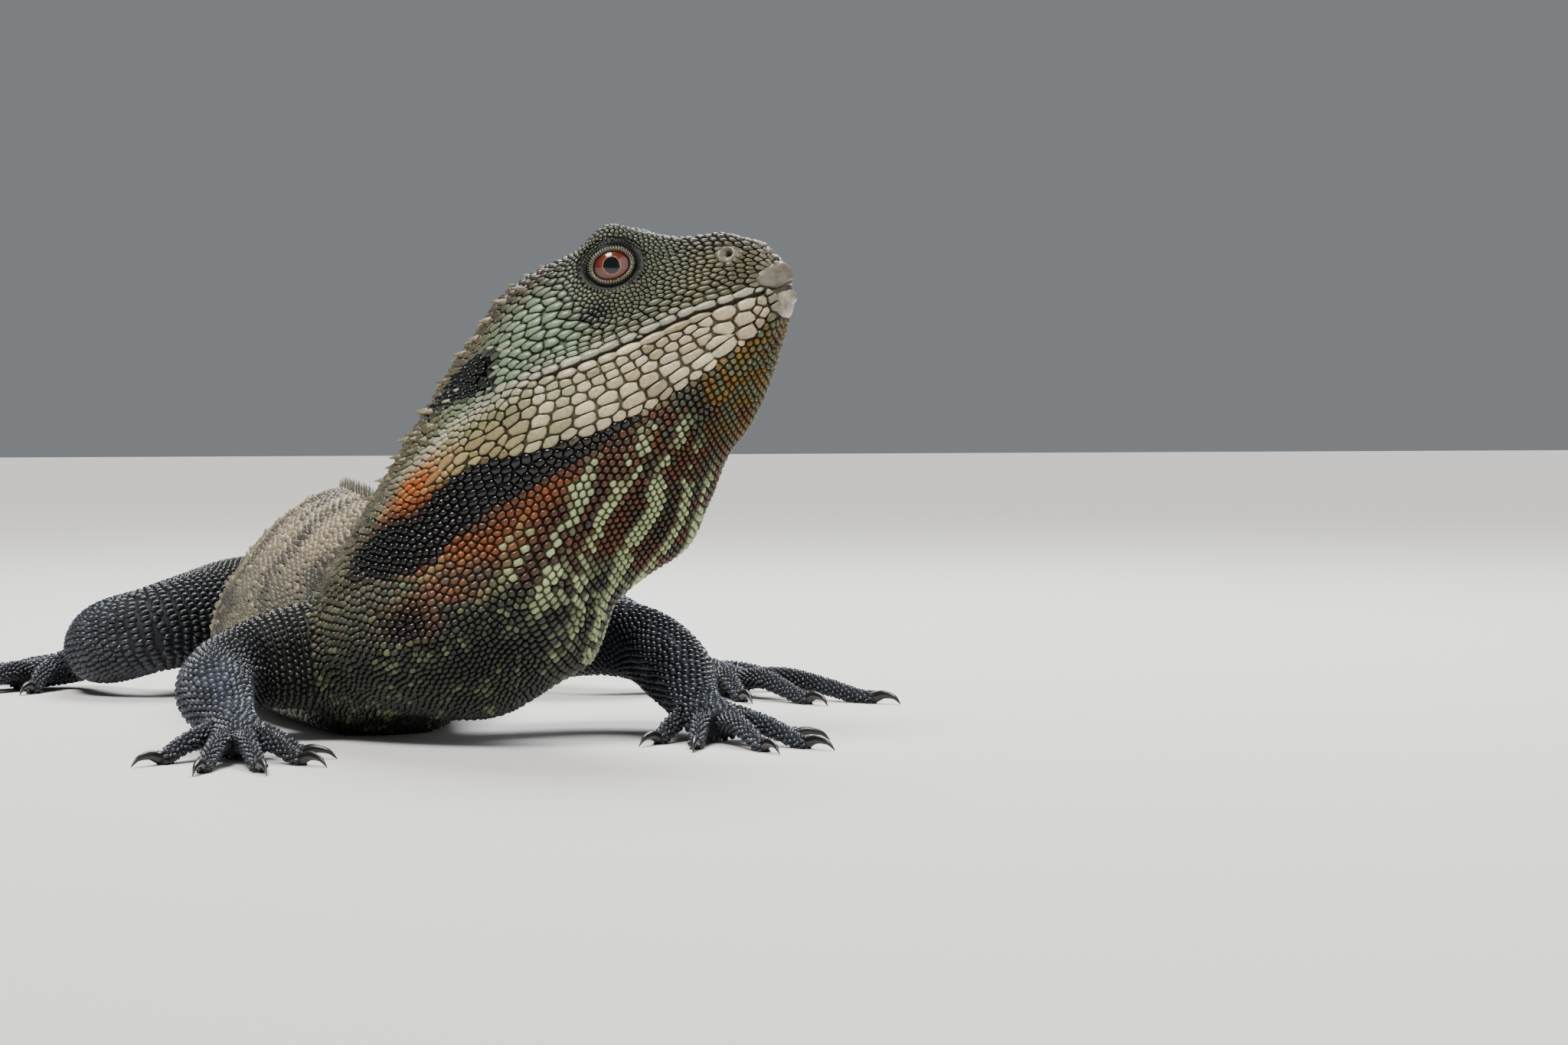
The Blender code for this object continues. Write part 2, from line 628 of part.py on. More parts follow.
def tube_ring(points, place, sides, swell=1.0):
    """Gives one ring of a limb or digit, square to its line."""
    here = tube_point(points, place)
    ahead = tube_point(points, min(place + 0.02, len(points) - 1))
    behind = tube_point(points, max(place - 0.02, 0))
    along = Vector(ahead[:3] - behind[:3]).normalized()
    across = along.cross(Vector((0, 0, 1))).normalized()
    upward = across.cross(along)
    ring = []
    for k in range(sides):
        turn = 2 * math.pi * (k + 0.5) / sides
        offset = across * (here[3] * swell * math.cos(turn)) + upward * (here[4] * swell * math.sin(turn))
        ring.append(Vector(here[:3]) + offset)
    return ring


def tube(name, points, start, end, step, sides, collection, round_end=False):
    """Lofts a limb or digit between two places, closed flat or with a rounded end."""
    rings = [tube_ring(points, p, sides) for p in spaced(start, end, step)]
    if round_end:
        last = tube_point(points, end)
        along = Vector(last[:3] - tube_point(points, end - 0.1)[:3]).normalized()
        for share in (0.45, 0.8, 0.96):
            ring = tube_ring(points, end, sides, math.sqrt(1 - share * share))
            rings.append([p + along * (share * last[4]) for p in ring])
    return loft(name, rings, collection)


def place_limb(points, girdle, side):
    """Places a limb's joints on one side of the body, measured from its girdle."""
    centre, left, _ = frame_at(girdle)
    back = Vector((-left.y, left.x, 0))
    rows = []
    for out, behind, height, across, up in points:
        spot = centre + left * (side * out) + back * behind
        rows.append((spot.x, spot.y, height, across, up))
    return rows


def shifted_place(points, place, distance):
    """Moves a place along a limb by a distance in millimetres."""
    ahead, here = tube_point(points, place + 0.05), tube_point(points, place)
    return place + 0.05 * distance / float(np.linalg.norm(ahead[:3] - here[:3]))


def digit_line(limb, digit, radius, side):
    """Gives the joints of one digit, arched over its knuckle and down to the floor."""
    along, across, heading, length = digit
    wrist, end = np.array(limb[-3][:3]), np.array(limb[-1][:3])
    forward = Vector(end - wrist)
    forward.z = 0
    forward.normalize()
    outward = Vector((forward.y, -forward.x, 0))
    if outward.x * side < 0:
        outward = -outward
    turn = math.radians(heading)
    aim = forward * math.cos(turn) + outward * math.sin(turn)
    start = Vector(wrist + (end - wrist) * along) + outward * (across * limb[-2][3] * 0.7)
    heights = (start.z, radius * 2.3, radius * 1.5, radius * 0.66, radius * 0.62)
    joints = []
    for share, height, thick in zip((0, 0.34, 0.66, 0.88, 1.0), heights, (1.0, 0.95, 0.8, 0.7, 0.64)):
        spot = start + aim * (length * share)
        joints.append((spot.x, spot.y, height, radius * thick, radius * thick))
    return joints, aim


def claw_line(joints, aim, length):
    """Gives the joints of one claw, curved over and down from the end of its digit."""
    tip = joints[-1]
    start = Vector(tip[:3]) + aim * GAP
    rows = []
    for share, rise, thick in ((0, 0, 0.84), (0.3, 0.12, 0.74), (0.72, -0.1, 0.42), (1.0, -1.0, 0.09)):
        spot = start + aim * (length * share)
        height = max(start.z + rise, 0.28) if share < 1 else 0.2
        rows.append((spot.x, spot.y, height, tip[3] * thick, tip[3] * thick))
    return rows


def build_limb(names, points, cuts, digits, radius, side, body_cutters, collection):
    """Builds one limb as upper part, lower part, foot with its digits, and the claws."""
    line = place_limb(points, HIP if "foot" in names[2] else SHOULDER, side)
    upper_name, lower_name, foot_name, claw_name = names
    bend, wrist = cuts
    end = shifted_place(line, bend, -BEND_GAP / 2)
    upper = tube(upper_name, line, 0, end, 0.4, LIMB_SIDES, collection)
    start, end = shifted_place(line, bend, BEND_GAP / 2), shifted_place(line, wrist, -GAP / 2)
    lower = tube(lower_name, line, start, end, 0.4, LIMB_SIDES, collection)
    start = shifted_place(line, wrist, GAP / 2)
    foot = tube(foot_name, line, start, len(line) - 1, 0.6, LIMB_SIDES - 2, collection, True)
    toes, claws = [], []
    for number, digit in enumerate(digits, 1):
        joints, aim = digit_line(line, digit, radius, side)
        toes.append(tube("toe", joints, 0, 4, 0.7, DIGIT_SIDES, collection))
        length = CLAW_LENGTH["hand" if "hand" in foot_name else "foot"]
        hook = claw_line(joints, aim, length)
        claws.append(tube(f"{claw_name}_{number}", hook, 0, 3, 0.75, CLAW_SIDES, collection))
    boolean(foot, "UNION", toes)
    boolean(upper, "DIFFERENCE", [swollen(c, LIMB_CLEARANCE, collection) for c in body_cutters])
    for piece in [upper, lower, foot] + claws:
        trim_floor(piece, collection)
    return [upper, lower, foot] + claws


def paint(piece, kind, roughness):
    """Gives a piece its own material."""
    finish = bpy.data.materials.new(piece.name + "_skin")
    finish.use_nodes = True
    shader = finish.node_tree.nodes["Principled BSDF"]
    shader.inputs["Base Color"].default_value = (*COLOURS[kind], 1)
    shader.inputs["Roughness"].default_value = roughness
    shader.inputs["Metallic"].default_value = 0.0
    piece.data.materials.clear()
    piece.data.materials.append(finish)


def build_trunk(collection):
    """Builds the neck, the torso and the lengths of tail as plain forms."""
    neck = body_part("neck", HEAD_END + GAP / 2, SNOUT_TO_SHOULDER - GAP / 2, 2.8, BODY_SIDES, collection)
    torso = body_part("torso", SNOUT_TO_SHOULDER + GAP / 2, SNOUT_TO_VENT, 6.5, BODY_SIDES, collection)
    tails = []
    ends = np.linspace(SNOUT_TO_VENT, TAIL_TIP, 5)
    for number, (start, end) in enumerate(zip(ends, ends[1:]), 1):
        tail = body_part(f"tail_{number}", start + GAP, end, 10 + 2 * number, TAIL_SIDES, collection)
        tails.append(tail)
    return neck, torso, tails


def add_spines(neck, torso, tails, collection):
    """Joins the crest and the side spines to the parts they grow from."""
    chance = random.Random(SEED + 1)
    ends = np.linspace(SNOUT_TO_VENT, TAIL_TIP, 5)
    bm = bmesh.new()
    crest(bm, HEAD_END + 1.5, SNOUT_TO_SHOULDER - 1, 3.4, CREST_HEIGHTS, chance)
    side_spines(bm, HEAD_END + 1, SNOUT_TO_SHOULDER, chance)
    boolean(neck, "UNION", split_mesh(bm, "spine", collection))
    bm = bmesh.new()
    crest(bm, SNOUT_TO_SHOULDER + 1.5, SNOUT_TO_VENT - 1, 5.0, CREST_HEIGHTS, chance)
    boolean(torso, "UNION", split_mesh(bm, "spine", collection))
    for tail, start, end in list(zip(tails, ends, ends[1:]))[:3]:
        bm = bmesh.new()
        crest(bm, start + 2, end - 2, 8.0, CREST_HEIGHTS, chance)
        boolean(tail, "UNION", split_mesh(bm, "spine", collection))


def stand_on_origin(pieces):
    """Moves the whole animal so that the middle of its box stands on the origin."""
    corners = np.array([v.co for p in pieces for v in p.data.vertices])
    low, high = corners.min(0), corners.max(0)
    shift = Vector(((low[0] + high[0]) / 2, (low[1] + high[1]) / 2, low[2]))
    for piece in pieces:
        piece.location = -shift


def main():
    """Clears the scene and builds the animal."""
    for piece in list(bpy.data.objects):
        bpy.data.objects.remove(piece)
    animal = bpy.data.collections.new("water_dragon")
    bpy.context.scene.collection.children.link(animal)
    head = build_head(animal)
    neck, torso, tails = build_trunk(animal)
    limbs = []
    for side, word, arm, leg in ((-1, "right", ARM_RIGHT, LEG_RIGHT), (1, "left", ARM_LEFT, LEG_LEFT)):
        names = (f"upper_arm_{word}", f"forearm_{word}", f"hand_{word}", f"claw_hand_{word}")
        near = [neck, torso]
        limbs += build_limb(names, arm, ARM_CUTS, HAND_DIGITS, HAND_DIGIT_RADIUS, side, near, animal)
        names = (f"thigh_{word}", f"shank_{word}", f"foot_{word}", f"claw_foot_{word}")
        near = [torso, tails[0]]
        limbs += build_limb(names, leg, LEG_CUTS, FOOT_DIGITS, FOOT_DIGIT_RADIUS, side, near, animal)
    add_spines(neck, torso, tails, animal)
    eyes = [build_eye(-1, "eye_right", animal), build_eye(1, "eye_left", animal)]
    for piece in [neck, torso] + tails:
        trim_floor(piece, animal)
    paint(head, "head", 0.6)
    paint(neck, "neck", 0.6)
    paint(torso, "torso", 0.65)
    for piece in tails:
        paint(piece, "tail", 0.6)
    for piece in limbs:
        claw = piece.name.startswith("claw")
        paint(piece, "claw" if claw else "limb", 0.3 if claw else 0.55)
    for piece in eyes:
        paint(piece, "eye", 0.1)
    stand_on_origin([head, neck, torso] + tails + limbs + eyes)


main()
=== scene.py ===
"""Dresses the water dragon: one skin, scales in mesh, eyes, claws, light and camera.

Lengths inside the classes are in millimetres in the animal's own frame, with the shoulders at
the origin, the head towards -Y and the floor at zero. They become metres when a mesh is made.
A place of the trunk is a distance t behind the snout and a turn v round the section there.
"""
import json
import logging
import math
from dataclasses import dataclass, field
from enum import Enum
from typing import Dict, List, Optional, Sequence, Tuple

import bpy
import numpy as np
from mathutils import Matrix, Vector
from mathutils.bvhtree import BVHTree
from mathutils.kdtree import KDTree

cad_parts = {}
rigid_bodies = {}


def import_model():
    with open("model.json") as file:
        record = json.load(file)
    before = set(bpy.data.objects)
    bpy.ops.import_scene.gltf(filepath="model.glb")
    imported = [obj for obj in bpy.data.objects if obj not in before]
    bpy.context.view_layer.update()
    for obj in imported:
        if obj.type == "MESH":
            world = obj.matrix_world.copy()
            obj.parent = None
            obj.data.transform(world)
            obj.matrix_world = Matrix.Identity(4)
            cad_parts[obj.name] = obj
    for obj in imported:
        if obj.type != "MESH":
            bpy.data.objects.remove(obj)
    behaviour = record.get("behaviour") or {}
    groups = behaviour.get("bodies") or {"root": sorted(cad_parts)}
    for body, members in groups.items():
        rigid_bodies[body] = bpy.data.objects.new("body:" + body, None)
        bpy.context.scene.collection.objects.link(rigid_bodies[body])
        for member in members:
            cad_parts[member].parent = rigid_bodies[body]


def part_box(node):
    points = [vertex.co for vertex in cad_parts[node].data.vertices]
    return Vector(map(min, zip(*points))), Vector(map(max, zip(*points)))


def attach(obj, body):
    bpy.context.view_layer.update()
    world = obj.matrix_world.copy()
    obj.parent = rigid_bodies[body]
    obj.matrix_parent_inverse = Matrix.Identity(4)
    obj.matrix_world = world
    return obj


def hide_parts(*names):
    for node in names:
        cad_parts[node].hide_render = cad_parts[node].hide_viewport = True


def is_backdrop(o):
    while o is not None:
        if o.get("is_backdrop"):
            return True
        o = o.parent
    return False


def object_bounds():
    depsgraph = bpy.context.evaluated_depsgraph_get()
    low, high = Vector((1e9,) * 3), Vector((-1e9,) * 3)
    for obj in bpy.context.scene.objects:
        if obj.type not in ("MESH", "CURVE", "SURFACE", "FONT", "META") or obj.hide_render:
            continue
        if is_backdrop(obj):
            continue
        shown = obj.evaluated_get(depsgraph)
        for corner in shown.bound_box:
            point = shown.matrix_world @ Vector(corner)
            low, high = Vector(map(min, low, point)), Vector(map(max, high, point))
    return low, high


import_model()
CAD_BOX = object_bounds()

LOG = logging.getLogger("water_dragon")
MM = 0.001
RIGHT, LEFT = -1.0, 1.0
TURN = 2 * math.pi
Array = np.ndarray
Piece = bpy.types.Object

MOUTH = 0.445  # turn of the line between the lips
EYE_MIDDLE = (28.1, 12.1)  # back and up, where the scales close in on the eye
EAR_MIDDLE = (56.0, 0.9)
NOSTRIL = (7.0, 8.3)
VENT = 238.0
NECK_SEAM, TIP_SEAM = 60.0, 690.0  # where one skin hands over to the next
SKIN_DEPTH = 0.33  # how far the skin lies under the roots of the scales


# ---------------------------------------------------------------- numbers and noise
def unit(v: Array) -> Array:
    """Gives vectors of length one."""
    return v / np.maximum(np.linalg.norm(v, axis=-1, keepdims=True), 1e-12)


def ramp(low: float, high: float, x: Array) -> Array:
    """Rises smoothly from 0 at low to 1 at high."""
    u = np.clip((x - low) / (high - low), 0.0, 1.0)
    return u * u * (3.0 - 2.0 * u)


def bump_at(x: Array, centre: float, width: float) -> Array:
    """Gives a soft bump of height 1 at a centre."""
    return np.exp(-((x - centre) / width) ** 2)


def blob(x: Array, y: Array, at: Tuple[float, float], reach: Tuple[float, float]) -> Array:
    """Gives a soft oval bump of height 1 at a place."""
    return np.exp(-((x - at[0]) / reach[0]) ** 2 - ((y - at[1]) / reach[1]) ** 2)


def waves(x: Array, low: float, high: float) -> Array:
    """Gives soft-edged stripes, one for each whole number of x."""
    return ramp(low, high, 0.5 + 0.5 * np.cos(TURN * x))


def noise(p: Array, size: float, seed: int = 0) -> Array:
    """Reads smooth noise from 0 to 1 in space.

    Args:
        p: points in millimetres, one row each.
        size: size of one grain in millimetres.
        seed: changes the pattern.

    Returns:
        One value for each point.
    """
    q = np.asarray(p, float) / size + 1000.0
    cell = np.floor(q).astype(np.int64)
    f = q - cell
    f = f * f * (3.0 - 2.0 * f)
    total = np.zeros(len(q))
    for corner in range(8):
        bits = np.array([corner & 1, corner >> 1 & 1, corner >> 2 & 1])
        k = cell + bits
        h = k[:, 0] * 73856093 ^ k[:, 1] * 19349663 ^ k[:, 2] * 83492791 ^ (seed * 2654435 + 97)
        h = (h ^ h >> 13) * 1274126177 & 0x7FFFFFFF
        h = (h ^ h >> 15) * 668265263 & 0x7FFFFFFF
        total += np.prod(np.where(bits, f, 1.0 - f), axis=1) * (h / 0x7FFFFFFF)
    return total


def mix(a: Array, b: Sequence[float], share: Array) -> Array:
    """Blends colours, one or a row for each share, towards another colour."""
    share = np.asarray(share)[..., None]
    return a * (1.0 - share) + np.asarray(b, float) * share


def smooth(knots: Sequence[float], values: Sequence[float], at: Array) -> Array:
    """Reads a smooth curve through the knots that never overshoots them.

    Args:
        knots: places along the curve, rising.
        values: the curve's value at each knot.
        at: where to read it; outside the knots the end values hold.

    Returns:
        The values there.
    """
    x, y = np.asarray(knots, float), np.asarray(values, float)
    at = np.clip(at, x[0], x[-1])
    step = np.diff(x)
    rise = np.diff(y) / step
    both, total = rise[:-1] * rise[1:], rise[:-1] + rise[1:]
    slope = np.zeros_like(y)
    slope[1:-1] = np.where(both > 0, 2 * both / np.where(total == 0, 1, total), 0)
    slope[0], slope[-1] = rise[0], rise[-1]
    i = np.clip(np.searchsorted(x, at, side="right") - 1, 0, len(x) - 2)
    u = (at - x[i]) / step[i]
    start = y[i] * (1 + 2 * u) * (1 - u) ** 2 + step[i] * slope[i] * u * (1 - u) ** 2
    end = y[i + 1] * u * u * (3 - 2 * u) + step[i] * slope[i + 1] * u * u * (u - 1)
    return start + end


def read_rows(rows: Sequence[Sequence[float]], at: Array, column: int = 1) -> Array:
    """Reads a smooth curve from a table whose first column holds the knots."""
    return smooth([row[0] for row in rows], [row[column] for row in rows], at)


def through(table: Sequence[Array], u: Array) -> Array:
    """Reads the curve through four neighbours, from the second at 0 to the third at 1.

    Args:
        table: the values of the neighbours, in order.
        u: how far the place is from the second to the third.

    Returns:
        The value there.
    """
    a, b, c, d = table
    return 0.5 * (
        2 * b + (c - a) * u + (2 * a - 5 * b + 4 * c - d) * u * u
        + (3 * b - a - 3 * c + d) * u ** 3
    )


def lengths_along(line: Array) -> Array:
    """Gives the length walked along a line of points, from 0 at its start."""
    return np.concatenate([[0], np.cumsum(np.linalg.norm(np.diff(line, axis=0), axis=1))])


def from_eye(back: Array, high: Array) -> Array:
    """Measures how far places on the side of the head lie from the eye's middle."""
    return np.hypot(back - EYE_MIDDLE[0], (high - EYE_MIDDLE[1]) * 1.05)


def ring_angles(count: int, shift: float = 0.0) -> Array:
    """Gives even angles round a circle, set off by a share of one step."""
    return TURN * (np.arange(count) + shift) / count


def unwind(v: Array) -> Array:
    """Brings turns that ran past the belly back between -1 and 1."""
    return np.where(v > 1, v - 2, np.where(v < -1, v + 2, v))


def tree_of(points: Array) -> KDTree:
    """Gives a tree for finding near points.

    Args:
        points: the points, one row each.

    Returns:
        The tree, whose numbers are those of the rows.
    """
    tree = KDTree(len(points))
    for k, p in enumerate(points):
        tree.insert(p, k)
    tree.balance()
    return tree


# ---------------------------------------------------------------- the animal's form
@dataclass
class Trunk:
    """The body from snout to tail tip, as a loft along a walk behind the snout.

    A turn runs from -1 to 1: the belly is at both ends, the middle of the back is 0, and the
    right side is negative. The rows of the head hold distance, pitch in degrees, height of the
    axis and then top, and across and up of four corners, and bottom. Those of the trunk hold
    distance, half width and height, and share one shape.
    """

    tip: float = 798.0
    shoulder: float = 94.0
    nose: float = 1.7
    head_pitch: float = math.radians(18.6)
    heading: Sequence[Tuple[float, float]] = (
        (0, 62), (48, 62), (97, 3), (165, -7), (238, -14), (330, -22), (470, -14), (620, -10),
        (798, -24),
    )
    head_rows: Sequence[Tuple[float, ...]] = (
        (0.0, 18.6, 89.9, 5.4, 2.0, 5.0, 3.3, 0.5, 3.1, -2.4, 2.0, -3.6, -3.9),
        (1.2, 18.6, 89.5, 8.2, 3.1, 7.7, 5.2, 0.6, 5.0, -3.3, 3.3, -5.5, -6.2),
        (3.6, 18.6, 88.7, 9.8, 4.1, 9.4, 7.0, 0.6, 6.9, -4.2, 4.6, -8.2, -9.9),
        (7.5, 18.6, 87.4, 12.0, 4.9, 11.8, 9.2, 0.6, 9.2, -5.0, 6.0, -11.8, -15.8),
        (14.0, 18.6, 85.2, 13.3, 6.0, 13.2, 11.4, 0.8, 11.6, -5.8, 7.6, -16.3, -23.3),
        (20.0, 18.6, 83.2, 15.5, 8.0, 16.3, 13.4, 0.5, 13.9, -6.6, 9.2, -19.6, -27.6),
        (26.0, 18.6, 81.2, 17.4, 10.6, 20.0, 15.6, 0.0, 16.6, -7.6, 11.0, -24.2, -34.8),
        (33.0, 18.6, 78.8, 16.2, 10.6, 17.2, 18.2, -1.0, 19.6, -8.6, 13.0, -28.3, -42.0),
        (42.0, 18.6, 75.8, 16.4, 10.8, 15.4, 20.4, -1.6, 22.0, -9.6, 14.6, -31.2, -44.6),
        (49.0, 18.6, 73.4, 15.2, 10.9, 13.0, 20.7, -2.4, 22.6, -11.2, 15.8, -34.4, -47.6),
        (57.0, 17.5, 70.0, 10.5, 10.2, 7.2, 18.4, -4.2, 21.0, -14.4, 17.0, -41.5, -57.0),
        (66.0, 14.0, 61.5, 7.8, 9.2, 3.6, 15.8, -5.0, 19.6, -15.4, 17.2, -40.0, -55.5),
        (80.0, 6.0, 45.0, 3.0, 8.8, 0.0, 14.8, -6.6, 18.8, -15.4, 18.2, -31.5, -40.4),
    )
    trunk_rows: Sequence[Tuple[float, float, float]] = (
        (94, 21.0, 45.5), (115, 25.0, 47.5), (150, 29.0, 48.2), (190, 28.0, 44.0),
        (220, 22.5, 39.5), (238, 17.0, 33.5), (256, 12.6, 27.0), (330, 8.6, 20.5),
        (470, 5.6, 14.0), (620, 3.1, 8.2), (730, 1.6, 4.4), (798, 0.6, 1.7),
    )
    trunk_shape: Sequence[Tuple[float, float]] = (
        (0.0, 0.5), (0.5, 0.34), (0.87, 0.05), (0.97, -0.22), (0.64, -0.455), (0.0, -0.512),
    )

    def __post_init__(self) -> None:
        """Lays out the section table and the walk along the animal."""
        rows = [list(row) for row in self.head_rows]
        for distance, half_width, height in self.trunk_rows:
            row = [distance, 0.0, height / 2, self.trunk_shape[0][1] * height]
            for across, up in self.trunk_shape[1:-1]:
                row += [across * half_width, up * height]
            rows.append(row + [self.trunk_shape[-1][1] * height])
        self.rows = np.array(rows, float)
        stride = 0.5
        self.walk = np.arange(0.0, self.tip + stride / 2, stride)
        turn = self.turn_at(self.walk)
        x = np.concatenate([[0], np.cumsum(-np.sin(turn[:-1]) * stride)])
        y = np.concatenate([[0], np.cumsum(np.cos(turn[:-1]) * stride)])
        at = int(np.searchsorted(self.walk, self.shoulder))
        self.path_x, self.path_y = x - x[at], y - y[at]

    def turn_at(self, t: Array) -> Array:
        """Gives the heading in radians at each distance."""
        return np.radians(read_rows(self.heading, t))

    def column(self, k: int, t: Array) -> Array:
        """Reads one column of the section table at each distance."""
        return smooth(self.rows[:, 0], self.rows[:, k], t)

    def back_of(self, t: Array) -> Array:
        """Gives how far behind the snout each distance lies along the head's own axis."""
        return t / math.cos(self.head_pitch)

    def axes(self, t: Array) -> Tuple[Array, Array, Array]:
        """Gives the frame of the section at each distance.

        Args:
            t: distances behind the snout.

        Returns:
            The section's centre and its left and up directions.
        """
        t = np.asarray(t, float)
        turn, pitch = self.turn_at(t), np.radians(self.column(1, t))
        centre = np.stack([
            np.interp(t, self.walk, self.path_x), np.interp(t, self.walk, self.path_y),
            self.column(2, t),
        ], -1)
        zero = np.zeros_like(turn)
        left = np.stack([np.cos(turn), np.sin(turn), zero], -1)
        forward = np.stack([np.sin(turn), -np.cos(turn), zero], -1)
        upright = np.array([0.0, 0.0, 1.0]) * np.cos(pitch)[..., None]
        return centre, left, upright - forward * np.sin(pitch)[..., None]

    def axes_at(self, t: float) -> Tuple[Array, Array, Array]:
        """Gives the frame of one section."""
        centre, left, up = self.axes(np.array([t]))
        return centre[0], left[0], up[0]

    def outline(self, t: Array, v: Array) -> Tuple[Array, Array]:
        """Gives the outward and upward reach of the section at each place.

        Args:
            t: distances behind the snout.
            v: turns round the section.

        Returns:
            The distance outwards, always positive, and the height above the axis.
        """
        t, v = np.broadcast_arrays(np.asarray(t, float), np.asarray(v, float))
        row = [self.column(k, t) for k in range(3, 13)]
        zero = np.zeros_like(row[0])
        across = np.stack([-row[1], zero, row[1], row[3], row[5], row[7], zero, -row[7]])
        upward = np.stack([row[2], row[0], row[2], row[4], row[6], row[8], row[9], row[8]])
        place = np.clip(np.abs(v), 0.0, 1.0) * 5.0
        i = np.minimum(place.astype(int), 4)
        u = place - i
        out, high = (
            through([np.take_along_axis(table, (i + k)[None], 0)[0] for k in range(4)], u)
            for table in (across, upward)
        )
        return out, high

    def point(self, t: Array, v: Array) -> Array:
        """Gives the point of the surface at each place.

        Args:
            t: distances behind the snout; below 0 they close the nose.
            v: turns round the section.

        Returns:
            The points, never below the floor.
        """
        t, v = np.broadcast_arrays(np.asarray(t, float), np.asarray(v, float))
        centre, left, up = self.axes(t)
        out, high = self.outline(t, v)
        past = np.clip(-t, 0.0, self.nose)
        ease = np.sqrt(np.maximum(1.0 - (past / self.nose) ** 2, 0.0))
        out, high = out * ease, high * ease
        centre = centre + np.cross(left, up) * past[..., None]
        p = centre + left * (np.where(v < 0, -1.0, 1.0) * out)[..., None] + up * high[..., None]
        p[..., 2] = np.maximum(p[..., 2], 0.0)
        return p

    def ring(self, t: float, fine: Array) -> Tuple[Array, Array]:
        """Gives the points of one section and the length walked round it."""
        line = self.point(np.full(len(fine), t), fine)
        return line, lengths_along(line)

    def directions(self, t: Array, v: Array) -> Tuple[Array, Array]:
        """Gives the outward and backward directions at each place.

        Args:
            t: distances behind the snout.
            v: turns round the section.

        Returns:
            Unit vectors out of the surface and, along it, towards the tail.
        """
        t = np.clip(t, 0.08 - self.nose, self.tip - 0.8)
        reach = np.where(t < 1.5, 0.07, 0.5)
        back = self.point(t + reach, v) - self.point(t - reach, v)
        step = 0.012
        w = np.clip(v, -1 + step, 1 - step)
        aside = (self.point(t, w + step) - self.point(t, w - step)) / (2 * step)
        out = unit(np.cross(aside, back))
        centre, _, _ = self.axes(t)
        wrong = np.sum(out * (self.point(t, v) - centre), -1) < 0
        out[wrong] *= -1.0
        return out, unit(back - out * np.sum(back * out, -1, keepdims=True))

    def head_point(self, back: float, out: float, up: float, side: float) -> Array:
        """Gives a point of the head from its distance behind the snout, outwards and up."""
        centre, left, upward = self.axes_at(back * math.cos(self.head_pitch))
        return centre + left * (side * out) + upward * up

    def turn_of_height(self, t: Array, height: Array) -> Array:
        """Finds where the section's side has a given height.

        Args:
            t: distances behind the snout.
            height: heights above the axis.

        Returns:
            The turns, counted positive.
        """
        low, high = np.full(np.shape(t), 0.06), np.full(np.shape(t), 0.985)
        for _ in range(26):
            middle = (low + high) / 2
            above = self.outline(t, middle)[1] > height
            low, high = np.where(above, middle, low), np.where(above, high, middle)
        return (low + high) / 2


# ---------------------------------------------------------------- limbs and digits
@dataclass
class Tube:
    """A limb, digit or claw as a smooth tube through its joints.

    Each joint is x, y, z, radius across and radius up. A place is counted in joints.
    """

    joints: Array

    def __post_init__(self) -> None:
        """Measures the tube's length so that rows can be spaced along it."""
        self.joints = np.asarray(self.joints, float)
        self.last = len(self.joints) - 1
        self.places = np.linspace(0.0, self.last, 40 * self.last + 1)
        self.lengths = lengths_along(self.read(self.places)[:, :3])

    def read(self, place: Array) -> Array:
        """Reads position and radii.

        Args:
            place: places along the tube.

        Returns:
            Rows like those of the joints.
        """
        rows = self.joints
        place = np.asarray(place, float)
        i = np.clip(np.floor(place).astype(int), 0, self.last - 1)
        table = np.vstack([2 * rows[0] - rows[1], rows, 2 * rows[-1] - rows[-2]])
        return through([table[i + k] for k in range(4)], (place - i)[..., None])

    def axes(self, place: Array) -> Tuple[Array, Array, Array]:
        """Gives the frame at each place.

        Args:
            place: places along the tube.

        Returns:
            The directions along, across and up the tube.
        """
        ahead = self.read(np.minimum(np.asarray(place, float) + 0.02, self.last))
        behind = self.read(np.maximum(np.asarray(place, float) - 0.02, 0.0))
        along = unit(ahead[..., :3] - behind[..., :3])
        across = unit(np.cross(along, np.array([0.0, 0.0, 1.0])))
        return along, across, np.cross(across, along)

    def point(self, place: Array, angle: Array) -> Array:
        """Gives points of the surface, never below the floor.

        Args:
            place: places along the tube.
            angle: angles round it.

        Returns:
            The points.
        """
        place, angle = np.broadcast_arrays(np.asarray(place, float), np.asarray(angle, float))
        here = self.read(place)
        _, across, upward = self.axes(place)
        p = here[..., :3] + across * (here[..., 3] * np.cos(angle))[..., None]
        p = p + upward * (here[..., 4] * np.sin(angle))[..., None]
        p[..., 2] = np.maximum(p[..., 2], 0.0)
        return p

    def rings(self, count: int, sides: int) -> Tuple[Array, Array, Array]:
        """Gives a net of points over the tube.

        Args:
            count: number of rings.
            sides: points round each.

        Returns:
            The points, and the place and the angle of each.
        """
        places, angles = np.linspace(0, self.last, count), ring_angles(sides)
        place, angle = np.meshgrid(places, angles, indexing="ij")
        return self.point(place, angle), place, angle

    def place_at(self, length: Array) -> Array:
        """Gives the place at each distance along the tube."""
        return np.interp(length, self.lengths, self.places)


